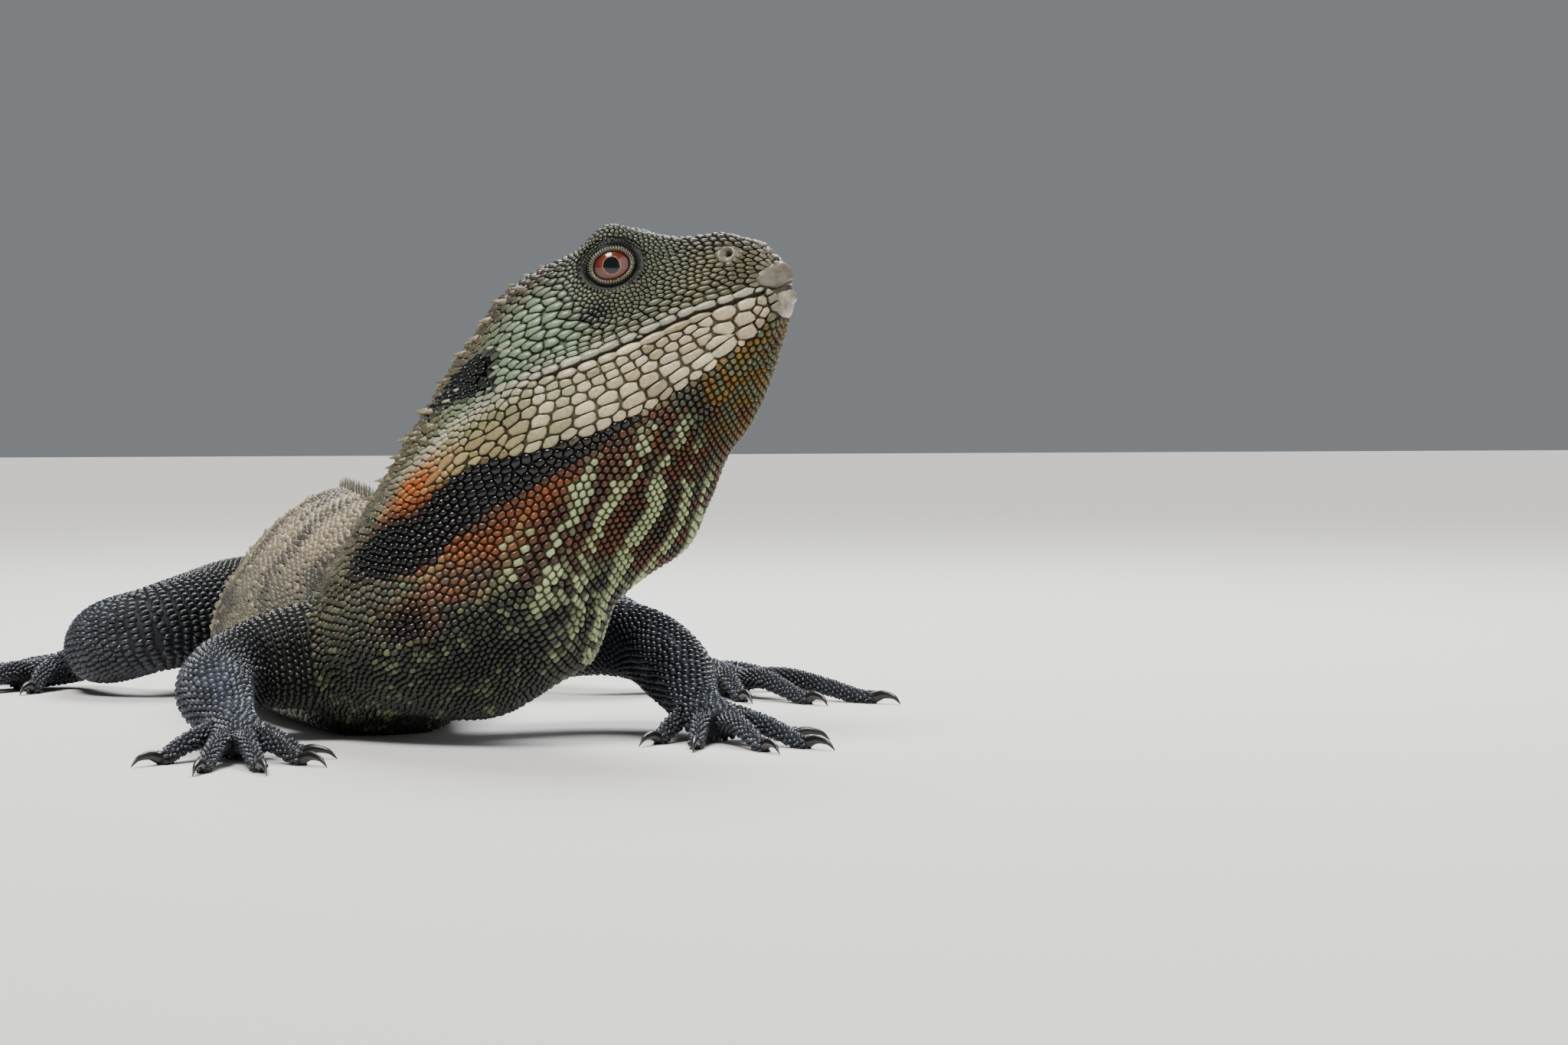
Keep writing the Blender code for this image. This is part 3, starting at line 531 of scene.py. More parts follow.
@dataclass
class Limb:
    """One limb: its joints from the girdle, its digits and their claws.

    A joint is outwards, behind, height, radius across and radius up. A digit starts at a share
    along and across the palm, and has a heading in degrees and a length.
    """

    name: str
    foot: str
    side: float
    girdle: float
    joints: Sequence[Tuple[float, ...]]
    digits: Sequence[Tuple[float, float, float, float]]
    digit_radius: float
    claw_length: float
    toe_rows: Sequence[Tuple[float, float, float]] = (
        (0.34, 2.3, 0.95), (0.66, 1.5, 0.8), (0.88, 0.66, 0.7), (1.0, 0.62, 0.64),
    )
    claw_rows: Sequence[Tuple[float, float, float]] = (
        (-0.2, 0.2, 1.02), (0.0, 0.35, 0.9), (0.3, 0.85, 0.72), (0.72, 0.4, 0.42),
        (1.0, -1.0, 0.07),
    )

    def build_lines(self, trunk: Trunk) -> None:
        """Places the limb, its digits and its claws beside the body.

        Args:
            trunk: the body it belongs to.
        """
        centre, left, _ = trunk.axes_at(self.girdle)
        back = np.array([-left[1], left[0], 0.0])
        rows = []
        for out, behind, height, across, up in self.joints:
            spot = centre + left * (self.side * out) + back * behind
            rows.append((spot[0], spot[1], height, across, up))
        self.tube = Tube(np.array(rows))
        wrist, end = np.array(rows[-3][:3]), np.array(rows[-1][:3])
        forward = unit((end - wrist) * np.array([1.0, 1.0, 0.0]))
        outward = np.array([forward[1], -forward[0], 0.0])
        outward = -outward if outward[0] * self.side < 0 else outward
        self.toes: List[Tube] = []
        self.claws: List[Tube] = []
        r = self.digit_radius
        for along, across, heading, length in self.digits:
            turn = math.radians(heading)
            aim = forward * math.cos(turn) + outward * math.sin(turn)
            start = wrist + (end - wrist) * along + outward * (across * rows[-2][3] * 0.7)
            toe = [(start[0], start[1], start[2], r, r)]
            for share, height, wide in self.toe_rows:
                spot = start + aim * (length * share)
                toe.append((spot[0], spot[1], r * height, r * wide, r * wide))
            tip = toe[-1]
            claw = []
            for share, rise, wide in self.claw_rows:
                spot = np.array(tip[:3]) + aim * (0.3 + self.claw_length * share)
                height = max(tip[2] + rise, 0.3) if share < 1 else 0.2
                claw.append((spot[0], spot[1], height, tip[3] * wide * 0.86, tip[3] * wide))
            self.toes.append(Tube(np.array(toe)))
            self.claws.append(Tube(np.array(claw)))


# ---------------------------------------------------------------- meshes
def strip_faces(rings: int, sides: int) -> Array:
    """Gives the triangles between rings of points.

    Args:
        rings: number of rings.
        sides: points round each.

    Returns:
        Rows of three vertex numbers.
    """
    k, j = np.meshgrid(np.arange(rings - 1), np.arange(sides), indexing="ij")
    a, b = k * sides + j, k * sides + (j + 1) % sides
    halves = (a, b, b + sides), (a, b + sides, a + sides)
    return np.vstack([np.stack(half, -1).reshape(-1, 3) for half in halves])


def disc_faces(rings: int, sides: int) -> Array:
    """Gives the triangles for rings of points round a middle point, which comes last.

    Args:
        rings: number of rings.
        sides: points round each.

    Returns:
        Rows of three vertex numbers.
    """
    s = (rings - 1) * sides + np.arange(sides)
    fan = np.stack([s, np.roll(s, -1), np.full(sides, rings * sides)], -1)
    return np.vstack([strip_faces(rings, sides), fan])


def solid_mesh(
    name: str, points: Array, faces: Array, marks: Dict[str, Array],
    spots: Optional[Array] = None, closed: bool = False,
) -> Piece:
    """Makes one object from arrays, with its attributes and its map for baking.

    Args:
        name: the piece's name.
        points: positions in millimetres in the CAD's frame.
        faces: triangles as rows of vertex numbers.
        marks: values for each vertex, colours with three columns or plain numbers.
        spots: places on the skin's unwrap for each vertex.
        closed: whether it is a closed shape, whose faces are then turned outwards.

    Returns:
        The object, linked to the scene and smooth shaded.
    """
    verts = points * MM
    if closed:
        a, b, c = (verts[faces[:, k]] for k in range(3))
        if (a * np.cross(b, c)).sum() < 0:
            faces = faces[:, ::-1]
    mesh = bpy.data.meshes.new(name)
    mesh.vertices.add(len(verts))
    mesh.vertices.foreach_set("co", np.ascontiguousarray(verts, np.float32).ravel())
    mesh.loops.add(faces.size)
    mesh.loops.foreach_set("vertex_index", np.ascontiguousarray(faces, np.int32).ravel())
    mesh.polygons.add(len(faces))
    mesh.polygons.foreach_set("loop_start", np.arange(0, faces.size, 3, dtype=np.int32))
    mesh.update(calc_edges=True)
    mesh.validate()
    mesh.polygons.foreach_set("use_smooth", np.ones(len(mesh.polygons), bool))
    for key, values in marks.items():
        mark(mesh, key, values)
    if spots is not None:
        unwrap = mesh.uv_layers.new(name="OFBake")
        corner = np.empty(len(mesh.loops), np.int32)
        mesh.loops.foreach_get("vertex_index", corner)
        unwrap.data.foreach_set("uv", np.ascontiguousarray(spots[corner], np.float32).ravel())
    piece = bpy.data.objects.new(name, mesh)
    bpy.context.scene.collection.objects.link(piece)
    return piece


def mark(mesh: bpy.types.Mesh, key: str, values: Array) -> None:
    """Gives a mesh one attribute.

    Args:
        mesh: the mesh.
        key: the attribute's name.
        values: values for each vertex, colours with three columns or plain numbers.
    """
    if values.ndim == 2:
        layer = mesh.attributes.new(key, "FLOAT_COLOR", "POINT")
        rgba = np.ones((len(values), 4), np.float32)
        rgba[:, :3] = values
        layer.data.foreach_set("color", rgba.ravel())
    else:
        layer = mesh.attributes.new(key, "FLOAT", "POINT")
        layer.data.foreach_set("value", np.ascontiguousarray(values, np.float32))


def read_vertices(mesh: bpy.types.Mesh, what: str = "co") -> Array:
    """Reads a measure of a mesh's vertices.

    Args:
        mesh: the mesh.
        what: "co" for the positions or "normal" for the normals.

    Returns:
        One row for each vertex.
    """
    values = np.empty(len(mesh.vertices) * 3)
    mesh.vertices.foreach_get(what, values)
    return values.reshape(-1, 3)


def surface_of(piece: Piece) -> BVHTree:
    """Gives a tree for finding the nearest places of a piece, in metres.

    Args:
        piece: the piece.

    Returns:
        The tree of its surface.
    """
    mesh = piece.data
    verts = [v.co.copy() for v in mesh.vertices]
    return BVHTree.FromPolygons(verts, [tuple(p.vertices) for p in mesh.polygons])


# ---------------------------------------------------------------- scales
@dataclass
class Seeds:
    """The roots of many scales, one row each.

    Attributes:
        point: where each stands.
        out: its direction out of the body.
        lie: its direction along the body, towards the tail.
        size: its width, were it round.
        stretch: its length for its width.
        height: how high its middle stands.
        tilt: how much higher its hind edge stands.
        keel: height of the ridge along it.
        tint: its linear colour.
        gloss: from 0 to 1.
        spot: its place on the unwrap.
    """

    point: Array
    out: Array
    lie: Array
    size: Array
    stretch: Array
    height: Array
    tilt: Array
    keel: Array
    tint: Array
    gloss: Array
    spot: Array

    @staticmethod
    def join(groups: Sequence["Seeds"]) -> "Seeds":
        """Puts several groups of seeds in one."""
        names = Seeds.__dataclass_fields__
        return Seeds(**{n: np.concatenate([getattr(g, n) for g in groups]) for n in names})

    def pick(self, chosen: Array) -> "Seeds":
        """Gives only the chosen rows."""
        return Seeds(**{n: getattr(self, n)[chosen] for n in Seeds.__dataclass_fields__})


@dataclass(frozen=True)
class ScaleCut:
    """How finely each scale is cut.

    Attributes:
        sides: corners round its rim.
        rings: rows from the rim inwards, each a share of the reach and of the height.
        seam: half the gap to its neighbours.
        root: how deep the rim is sunk.
    """

    sides: int
    rings: Tuple[Tuple[float, float], ...]
    seam: float
    root: float


FACE_CUT = ScaleCut(12, ((1.0, 0.0), (0.94, 0.34), (0.77, 0.68), (0.45, 0.92)), 0.06, 0.45)
THROAT_CUT = ScaleCut(9, ((1.0, 0.0), (0.84, 0.6), (0.45, 0.95)), 0.05, 0.5)
BODY_CUT = ScaleCut(8, ((1.0, 0.0), (0.72, 0.75)), 0.04, 0.6)


def neighbours(point: Array, count: int) -> Tuple[Array, Array]:
    """Finds the nearest other points of each point.

    Args:
        point: the points, one row each.
        count: how many to find.

    Returns:
        The indices and whether each one is real.
    """
    tree = tree_of(point)
    near = np.zeros((len(point), count), int)
    for k, p in enumerate(point):
        found = [f[1] for f in tree.find_n(p, count + 1)]
        found = [f for f in found if f != k][:count]
        near[k, :len(found)] = found
        near[k, len(found):] = k
    return near, near != np.arange(len(point))[:, None]


def cell_reach(
    seeds: Seeds, rows: Array, near: Array, real: Array, sides: int,
) -> Tuple[Array, Array]:
    """Measures how far each scale can grow before it meets its neighbours.

    Args:
        seeds: the roots of the whole body.
        rows: indices of the roots to measure.
        near: indices of their neighbours.
        real: which neighbours count.
        sides: number of directions.

    Returns:
        The reach in each direction, in the scale's own stretched plane, and the angles.
    """
    out, lie = seeds.out[rows], seeds.lie[rows]
    aside = np.cross(out, lie)
    gap = seeds.point[near] - seeds.point[rows][:, None]
    ease = np.sqrt(seeds.stretch[rows])[:, None]
    x = np.einsum("nkc,nc->nk", gap, lie) / ease
    y = np.einsum("nkc,nc->nk", gap, aside) * ease
    same_side = np.einsum("nkc,nc->nk", seeds.out[near], out) > 0.1
    square = x * x + y * y
    own = seeds.size[rows][:, None]
    share = own / (own + seeds.size[near])
    angle = ring_angles(sides, 0.5)
    toward = x[..., None] * np.cos(angle) + y[..., None] * np.sin(angle)
    reach = (square * share)[..., None] / np.maximum(toward, 1e-6)
    blocked = (toward > 1e-6) & (real & same_side & (square > 1e-8))[..., None]
    return np.minimum(np.where(blocked, reach, 1e9).min(1), own * 0.8), angle


@dataclass
class ScaleCoat:
    """Turns seeds into one mesh of many small raised scales."""

    name: str
    cut: ScaleCut
    least_reach: float = 0.1
    least_height: float = 0.03
    patch_size: float = 0.0015

    def build(
        self, seeds: Seeds, near: Array, real: Array, rows: Array, origin: Array,
    ) -> Piece:
        """Builds the mesh of the chosen seeds.

        Args:
            seeds: all roots on the body, so that scales of two coats meet well.
            near: neighbours of every root.
            real: which neighbours count.
            rows: the roots of this coat.
            origin: where the animal's own frame stands.

        Returns:
            The finished object.
        """
        cut, mine = self.cut, seeds.pick(rows)
        reach, angle = cell_reach(seeds, rows, near[rows], real[rows], cut.sides)
        aside = np.cross(mine.out, mine.lie)
        ease = np.sqrt(mine.stretch)[:, None]
        reach = np.maximum(reach - cut.seam, self.least_reach)
        x, y = reach * np.cos(angle) * ease, reach * np.sin(angle) / ease
        count, sides = reach.shape
        length = np.abs(x).max(1)[:, None]
        layers = []
        for share, rise in list(cut.rings) + [(0.0, 1.0)]:
            if share == 1.0:
                high = np.full((count, sides), -cut.root)
            else:
                high = rise * mine.height[:, None] + mine.tilt[:, None] * rise * share * x / length
                ridge = np.exp(-(y * share / (0.2 * mine.size[:, None])) ** 2)
                behind = 0.6 + 0.4 * x * share / length
                high = high + mine.keel[:, None] * ridge * behind * rise
            ring = mine.point[:, None] + mine.lie[:, None] * (x * share)[..., None]
            ring = ring + aside[:, None] * (y * share)[..., None]
            ring = ring + mine.out[:, None] * high[..., None]
            layers.append(ring[:, :1] if share == 0.0 else ring)
        stack = np.concatenate(layers, 1)
        per = stack.shape[1]
        faces = disc_faces(len(cut.rings), sides)
        table = (faces[None] + (np.arange(count) * per)[:, None, None]).reshape(-1, 3)
        # The rim value drives the painted shade that darkens each scale towards its edge.
        rim = np.append(np.repeat([share for share, _ in cut.rings], sides), 0.0)
        flat = [np.stack([x * share, y * share], -1) for share, _ in cut.rings]
        flat = np.concatenate(flat + [np.zeros((count, 1, 2))], 1)
        patch = self.patch_size * flat / np.abs(flat).max((1, 2))[:, None, None]
        verts = stack.reshape(-1, 3)
        verts[:, 2] = np.maximum(verts[:, 2], self.least_height)
        marks = {
            "tint": np.repeat(mine.tint, per, 0), "rim": np.tile(rim, count),
            "gloss": np.repeat(mine.gloss, per),
        }
        spots = (mine.spot[:, None] + patch).reshape(-1, 2)
        return solid_mesh(self.name, verts + origin, table, marks, spots)


# ---------------------------------------------------------------- colours and markings
def paint(red: float, green: float, blue: float) -> Array:
    """Gives a linear colour from the values that a colour card prints."""
    c = np.array([red, green, blue], float) / 255.0
    return np.where(c <= 0.04045, c / 12.92, ((c + 0.055) / 1.055) ** 2.4)


def hue(red: float, green: float, blue: float) -> Array:
    """Gives a palette's field with a colour from the values that a colour card prints."""
    return field(default_factory=lambda: paint(red, green, blue))


@dataclass(frozen=True)
class Palette:
    """The animal's colours, named by where they lie."""

    crown: Array = hue(56, 50, 36)
    snout: Array = hue(112, 104, 86)
    plate: Array = hue(100, 93, 80)
    lore: Array = hue(82, 78, 54)
    temple: Array = hue(112, 130, 104)
    eye_ring: Array = hue(15, 15, 14)
    granule: Array = hue(70, 78, 62)
    lid_edge: Array = hue(150, 142, 112)
    # lid_inside is painted shade, where the lids tuck in against the ball.
    lid_inside: Array = hue(16, 12, 10)
    # nostril is painted shade, inside the nostril's opening.
    nostril: Array = hue(26, 20, 18)
    jaw: Array = hue(172, 158, 124)
    jaw_back: Array = hue(138, 121, 76)
    blush: Array = hue(132, 112, 94)
    ivory: Array = hue(190, 182, 152)
    lip: Array = hue(158, 154, 132)
    mustard: Array = hue(92, 68, 6)
    chin: Array = hue(80, 80, 52)
    band: Array = hue(5, 5, 7)
    rust: Array = hue(68, 33, 4)
    umber: Array = hue(33, 19, 5)
    orange: Array = hue(150, 72, 1)
    mint: Array = hue(146, 156, 112)
    olive: Array = hue(47, 51, 36)
    moss: Array = hue(21, 21, 16)
    nape: Array = hue(84, 75, 54)
    spine: Array = hue(140, 130, 100)
    back: Array = hue(128, 115, 93)
    flank: Array = hue(84, 79, 64)
    cross_band: Array = hue(16, 15, 14)
    belly: Array = hue(25, 28, 21)
    tail_pale: Array = hue(64, 60, 46)
    limb: Array = hue(22, 25, 32)
    limb_pale: Array = hue(82, 89, 104)
    arm: Array = hue(25, 27, 21)
    claw: Array = hue(14, 12, 12)
    claw_tip: Array = hue(32, 27, 24)
    claw_sole: Array = hue(34, 24, 21)


JAW_EDGE = (
    (0.0, 0.66), (8.0, 0.695), (16.0, 0.703), (26.0, 0.692), (33.0, 0.681), (39.0, 0.675),
    (45.0, 0.661), (50.0, 0.644), (54.5, 0.613), (58.0, 0.60), (62.0, 0.588), (70.0, 0.55),
    (76.0, 0.52),
)
Stripe = Sequence[Tuple[float, float, float]]


@dataclass
class Markings:
    """Colours the whole body by place, the same for the skin and the scales.

    A stripe's rows are distance, turn and half width in turns. A spot is the distance and turn
    of its middle, and its reach in both.
    """

    trunk: Trunk
    palette: Palette = field(default_factory=Palette)
    throat_band: Stripe = (
        (30, 0.688, 0.006), (34, 0.69, 0.01), (40, 0.69, 0.016), (46, 0.682, 0.022),
        (51, 0.668, 0.027), (55.5, 0.643, 0.034), (59, 0.638, 0.04), (62, 0.636, 0.045),
        (66, 0.65, 0.045), (70, 0.635, 0.048), (74, 0.61, 0.045),
    )
    ear_patch: Stripe = (
        (51.5, 0.315, 0.02), (53.5, 0.318, 0.042), (56, 0.315, 0.06), (59, 0.295, 0.053),
        (62, 0.27, 0.045), (65.5, 0.235, 0.026),
    )
    # The shoulder fold is not modelled; its stripe is a painted highlight along the fold's edge.
    shoulder_fold: Stripe = (
        (65, 0.70, 0.004), (68, 0.708, 0.008), (71, 0.708, 0.01), (75, 0.70, 0.008),
    )
    orange_spots: Sequence[Tuple[float, ...]] = (
        (1.0, 66.5, 0.53, 4.6, 0.055), (0.95, 65.0, 0.737, 5.2, 0.05),
        (0.4, 52.0, 0.712, 8.0, 0.022),
    )
    black_spots: Sequence[Tuple[float, ...]] = (
        (72.5, 0.61, 4.6, 0.052), (69.8, 0.757, 3.2, 0.036), (76, 0.47, 4.0, 0.02),
    )

    def ragged(self, fine: Array) -> Array:
        """Gives how far the edge of a patch wanders, in turns."""
        return (fine - 0.5) * 0.03

    def stripe(self, t: Array, a: Array, line: Stripe, soft: float) -> Array:
        """Gives 1 inside a stripe that follows a line, and 0 outside.

        Args:
            t: distances behind the snout.
            a: turns from the back, counted positive.
            line: the stripe's rows.
            soft: width of its soft edge, in turns.

        Returns:
            How much each place belongs to the stripe.
        """
        middle, wide = read_rows(line, t), read_rows(line, t, 2)
        start, end = line[0][0], line[-1][0]
        inside = 1.0 - ramp(-soft, soft, np.abs(a - middle) - wide)
        return inside * ramp(start - 2, start + 1, t) * (1 - ramp(end - 1, end + 2, t))

    def colour(self, t: Array, v: Array, p: Array) -> Tuple[Array, Array]:
        """Gives the colour and the gloss at places of the trunk.

        Args:
            t: distances behind the snout.
            v: turns round the section.
            p: the points themselves, for the noise.

        Returns:
            Linear colours, one row each, and gloss from 0 to 1.
        """
        c, a = self.palette, np.abs(v)
        medium, fine, large = noise(p, 5.0, 1), noise(p, 1.7, 2), noise(p, 11.0, 3)
        edge = self.ragged(fine)
        tint, jaw = self.upper_head(t, v, p, medium, fine)
        throat = ramp(-0.008, 0.012, a - read_rows(JAW_EDGE, t) + 0.4 * edge)
        tint = self.throat(tint, t, a, throat, medium, fine)
        band = self.stripe(t, a, self.throat_band, 0.006)
        tint = mix(tint, c.band, np.clip(band, 0, 0.97))
        trail = self.stripe(t, a, self.ear_patch, 0.008)
        tint = mix(tint, c.band, np.clip(trail, 0, 0.97))
        for spot_t, spot_a, reach_t, reach_a in self.black_spots:
            spot = np.exp(-((t - spot_t) / reach_t) ** 4 - ((a - spot_a) / reach_a) ** 4)
            tint = mix(tint, c.band, spot * 0.95)
            band = np.maximum(band, spot)
        # Painted highlight: a pale line where the shoulder fold's edge would catch the light.
        tint = mix(tint, c.jaw_back, self.stripe(t, a, self.shoulder_fold, 0.005) * 0.75)
        band = np.clip(band + trail, 0, 1)
        body = ramp(66, 74, t + 8 * (medium - 0.5) + 14 * ramp(0.6, 0.85, a))
        tint = mix(tint, self.hide(t, a, medium, fine, large), body * (1 - np.clip(band, 0, 1)))
        nape = (1 - ramp(0.26, 0.31, a)) * ramp(46, 58, t) * (1 - body) * 0.85 * (1 - trail)
        tint = mix(tint, c.nape, nape) * (0.82 + 0.36 * large)[:, None]
        return tint, np.clip(0.25 + 0.7 * band + 0.3 * jaw * (1 - throat), 0, 1)

    def upper_head(
        self, t: Array, v: Array, p: Array, medium: Array, fine: Array,
    ) -> Tuple[Array, Array]:
        """Colours crown, lore, temple, lips and jaw.

        Args:
            t: distances behind the snout.
            v: turns round the section.
            p: the points themselves.
            medium: noise of middling grain.
            fine: noise of fine grain.

        Returns:
            The colours, and how much each place belongs to the jaw.
        """
        c, a, edge = self.palette, np.abs(v), self.ragged(fine)
        back = self.trunk.back_of(t)
        _, high = self.trunk.outline(t, v)
        tint = mix(c.crown, c.lore, ramp(0.17, 0.34, a + edge))
        temple = ramp(0.21, 0.29, a + edge) * ramp(30, 38, t) * (1 - ramp(56, 64, t))
        tint = mix(tint, c.temple, temple * (0.6 + 0.4 * medium))
        tint = mix(tint, c.lip, ramp(0.385, 0.41, a + edge * 0.5) * 0.8)
        jaw = ramp(MOUTH, MOUTH + 0.01, a) * (1 - ramp(46, 52, t))
        jaw = np.clip(jaw + ramp(0.43, 0.5, a + edge) * ramp(44, 50, t), 0, 1)
        pale, warm = noise(p, 3.4, 5), noise(p, 2.6, 4)
        for colour, share in (
            (c.jaw, 1.0),
            (c.jaw_back, ramp(40, 58, t + 6 * medium) * 0.9),
            (c.temple, ramp(34, 46, t) * (1 - ramp(0.5, 0.56, a)) * 0.45),
            (c.jaw_back * 0.6, ramp(0.6, 0.78, fine) * 0.55),
            (c.blush, ramp(0.45, 0.65, warm) * (1 - ramp(20, 38, t)) * 0.6),
            (c.ivory, ramp(0.5, 0.7, pale) * (1 - ramp(48, 60, t)) * 0.5),
            (c.temple, bump_at(t, 44, 10) * ramp(0.4, 0.6, 1 - pale) * 0.4),
        ):
            tint = mix(tint, colour, jaw * share)
        tint = mix(tint, c.snout, 1 - ramp(1.5, 5.0, t + 2 * fine))
        tint = mix(tint, c.granule, (1 - ramp(10, 15, from_eye(back, high))) * 0.55)
        patch = blob(back, high, (33.5, 5.0), (3.2, 1.6))
        return mix(tint, c.eye_ring, np.clip(patch * 1.3, 0, 0.9)), jaw

    def throat(
        self, tint: Array, t: Array, a: Array, throat: Array, medium: Array, fine: Array,
    ) -> Array:
        """Colours throat and chin: rust, mustard, olive, pale streaks and orange.

        Args:
            tint: the colours so far.
            t: distances behind the snout.
            a: turns from the back, counted positive.
            throat: how much each place belongs to the throat.
            medium: noise of middling grain.
            fine: noise of fine grain.

        Returns:
            The new colours.
        """
        c, edge = self.palette, self.ragged(fine)
        ground = mix(c.rust, c.umber, ramp(0.4, 0.7, 0.55 * medium + 0.45 * fine))
        tint = mix(tint, ground, throat)
        front = 1 - ramp(15, 25, t + 4 * medium)
        front = throat * front * ramp(0.2, 0.42, 0.5 * medium + 0.5 * fine)
        tint = mix(tint, mix(c.mustard, c.chin, ramp(0.42, 0.58, fine)), front)
        tint = mix(tint, c.olive, throat * bump_at(t, 24, 8) * ramp(0.42, 0.55, fine) * 0.8)
        lower = throat * ramp(48, 58, t + 60 * (a - 0.78)) * ramp(0.70, 0.77, a + edge)
        tint = mix(tint, mix(c.moss, c.olive, ramp(0.42, 0.56, fine)), 0.8 * lower)
        tint = mix(tint, c.mint, ramp(0.55, 0.7, fine) * lower * ramp(0.76, 0.82, a) * 0.45)
        run = (t - 150.0 * a + 54.5) / 12.6 + 0.45 * (medium - 0.5)
        streak = waves(run, 0.5, 0.76) * ramp(0.34, 0.5, medium * 0.4 + fine * 0.6)
        streak = streak * throat * ramp(20, 27, t) * (1 - ramp(60, 70, t)) * ramp(0.705, 0.73, a)
        tint = mix(tint, c.mint, np.clip(streak * 1.3, 0, 0.95))
        orange = sum(
            weight * blob(t, a, (spot_t, spot_a), (reach_t, reach_a))
            for weight, spot_t, spot_a, reach_t, reach_a in self.orange_spots)
        return mix(tint, c.orange, np.clip(orange * (0.55 + 0.8 * fine), 0, 0.95))

    def hide(self, t: Array, a: Array, medium: Array, fine: Array, large: Array) -> Array:
        """Colours neck, torso and tail, with their cross bands and rings.

        Args:
            t: distances behind the snout.
            a: turns from the back, counted positive.
            medium: noise of middling grain.
            fine: noise of fine grain.
            large: noise of large grain.

        Returns:
            The colours.
        """
        c, edge = self.palette, self.ragged(fine)
        hide = mix(c.nape, c.back, ramp(80, 100, t))
        hide = mix(hide, c.flank, ramp(0.2, 0.42, a + 2 * edge))
        hide = mix(hide, c.belly, ramp(0.62, 0.8, a + 2 * edge))
        side = ramp(0.3, 0.5, a)
        hide = mix(hide, c.olive, ramp(0.46, 0.6, fine) * side * (1 - ramp(100, 130, t)) * 0.75)
        wander = (4.5 * (large - 0.5) + 2.2 * (medium - 0.5)) / TURN
        cross = waves((t - 84) / 27.0 + wander, 0.5, 0.85) * (1 - ramp(0.5, 0.72, a))
        hide = mix(hide, c.cross_band, cross * ramp(78, 90, t) * (0.4 + 0.4 * fine))
        # Painted highlight: pale mint flecks on the sides stand in for glints on the scales' keels.
        hide = mix(hide, c.mint, ramp(0.66, 0.8, fine) * side * 0.3)
        rings = waves((t - 250) / 34.0 + 1.2 * (medium - 0.5) / TURN, 0.35, 0.7)
        return mix(hide, mix(c.tail_pale, c.cross_band, rings * 0.85), ramp(236, 262, t))

    def limb_colour(self, along: Array, p: Array, fore: bool) -> Tuple[Array, Array]:
        """Gives the colour and the gloss on a limb.

        Args:
            along: share of the way from the girdle to the end of the palm.
            p: the points, for the noise.
            fore: whether it is an arm.

        Returns:
            Linear colours and gloss.
        """
        c, medium, fine = self.palette, noise(p, 4.0, 5), noise(p, 1.5, 6)
        tint = mix(c.arm, c.limb, ramp(0.3, 0.55, along + 0.1 * medium))
        pale = (0.25 + 0.75 * ramp(0.45, 0.75, fine)) * ramp(0.35, 0.75, along)
        pale = pale * (0.62 if fore else 0.4) * (1 - 0.65 * ramp(0.88, 1.0, along))
        tint = mix(tint, c.limb_pale, pale)
        tint = mix(tint, c.cross_band, ramp(0.55, 0.8, medium) * 0.4)
        return tint, np.full(len(along), 0.45)


# ---------------------------------------------------------------- where the scales stand
@dataclass
class Eye:
    """One eye: where it looks, its ball and the oval opening of its lids.

    Attributes:
        name: the ball's name.
        side: right or left.
        place: distance behind the snout, outward and upward of its middle.
        radius: radius of the ball.
        opening: half the opening's width and height.
        reach: how far out the lids lie, in shares of the opening.
    """

    name: str
    side: float
    place: Tuple[float, float, float] = (29.4, 7.2, 13.2)
    radius: float = 5.8
    opening: Tuple[float, float] = (3.75, 2.95)
    reach: float = 1.72

    def build_axes(self, trunk: Trunk) -> None:
        """Works out the eye's centre and the directions it looks, lies along and stands up in.

        Args:
            trunk: the body it belongs to.
        """
        _, left, up = trunk.axes_at(self.place[0] * math.cos(trunk.head_pitch))
        self.centre = trunk.head_point(*self.place, self.side)
        self.look = unit(left * self.side - up * 0.03 + np.cross(left, up) * 0.26)
        behind = np.cross(up, left)
        self.behind = unit(behind - self.look * (behind @ self.look))
        stand = up - self.look * (up @ self.look)
        self.stand = unit(stand - self.behind * (stand @ self.behind))

    def spread(self, p: Array) -> Array:
        """Measures how far points lie from the middle of the opening.

        Args:
            p: the points.

        Returns:
            1 at the opening's edge, more outside it, and 9 behind the eye.
        """
        d = p - self.centre
        wide, tall = self.opening
        rho = np.hypot(d @ self.behind / wide, d @ self.stand / tall)
        return np.where(d @ self.look > 0, rho, 9.0)


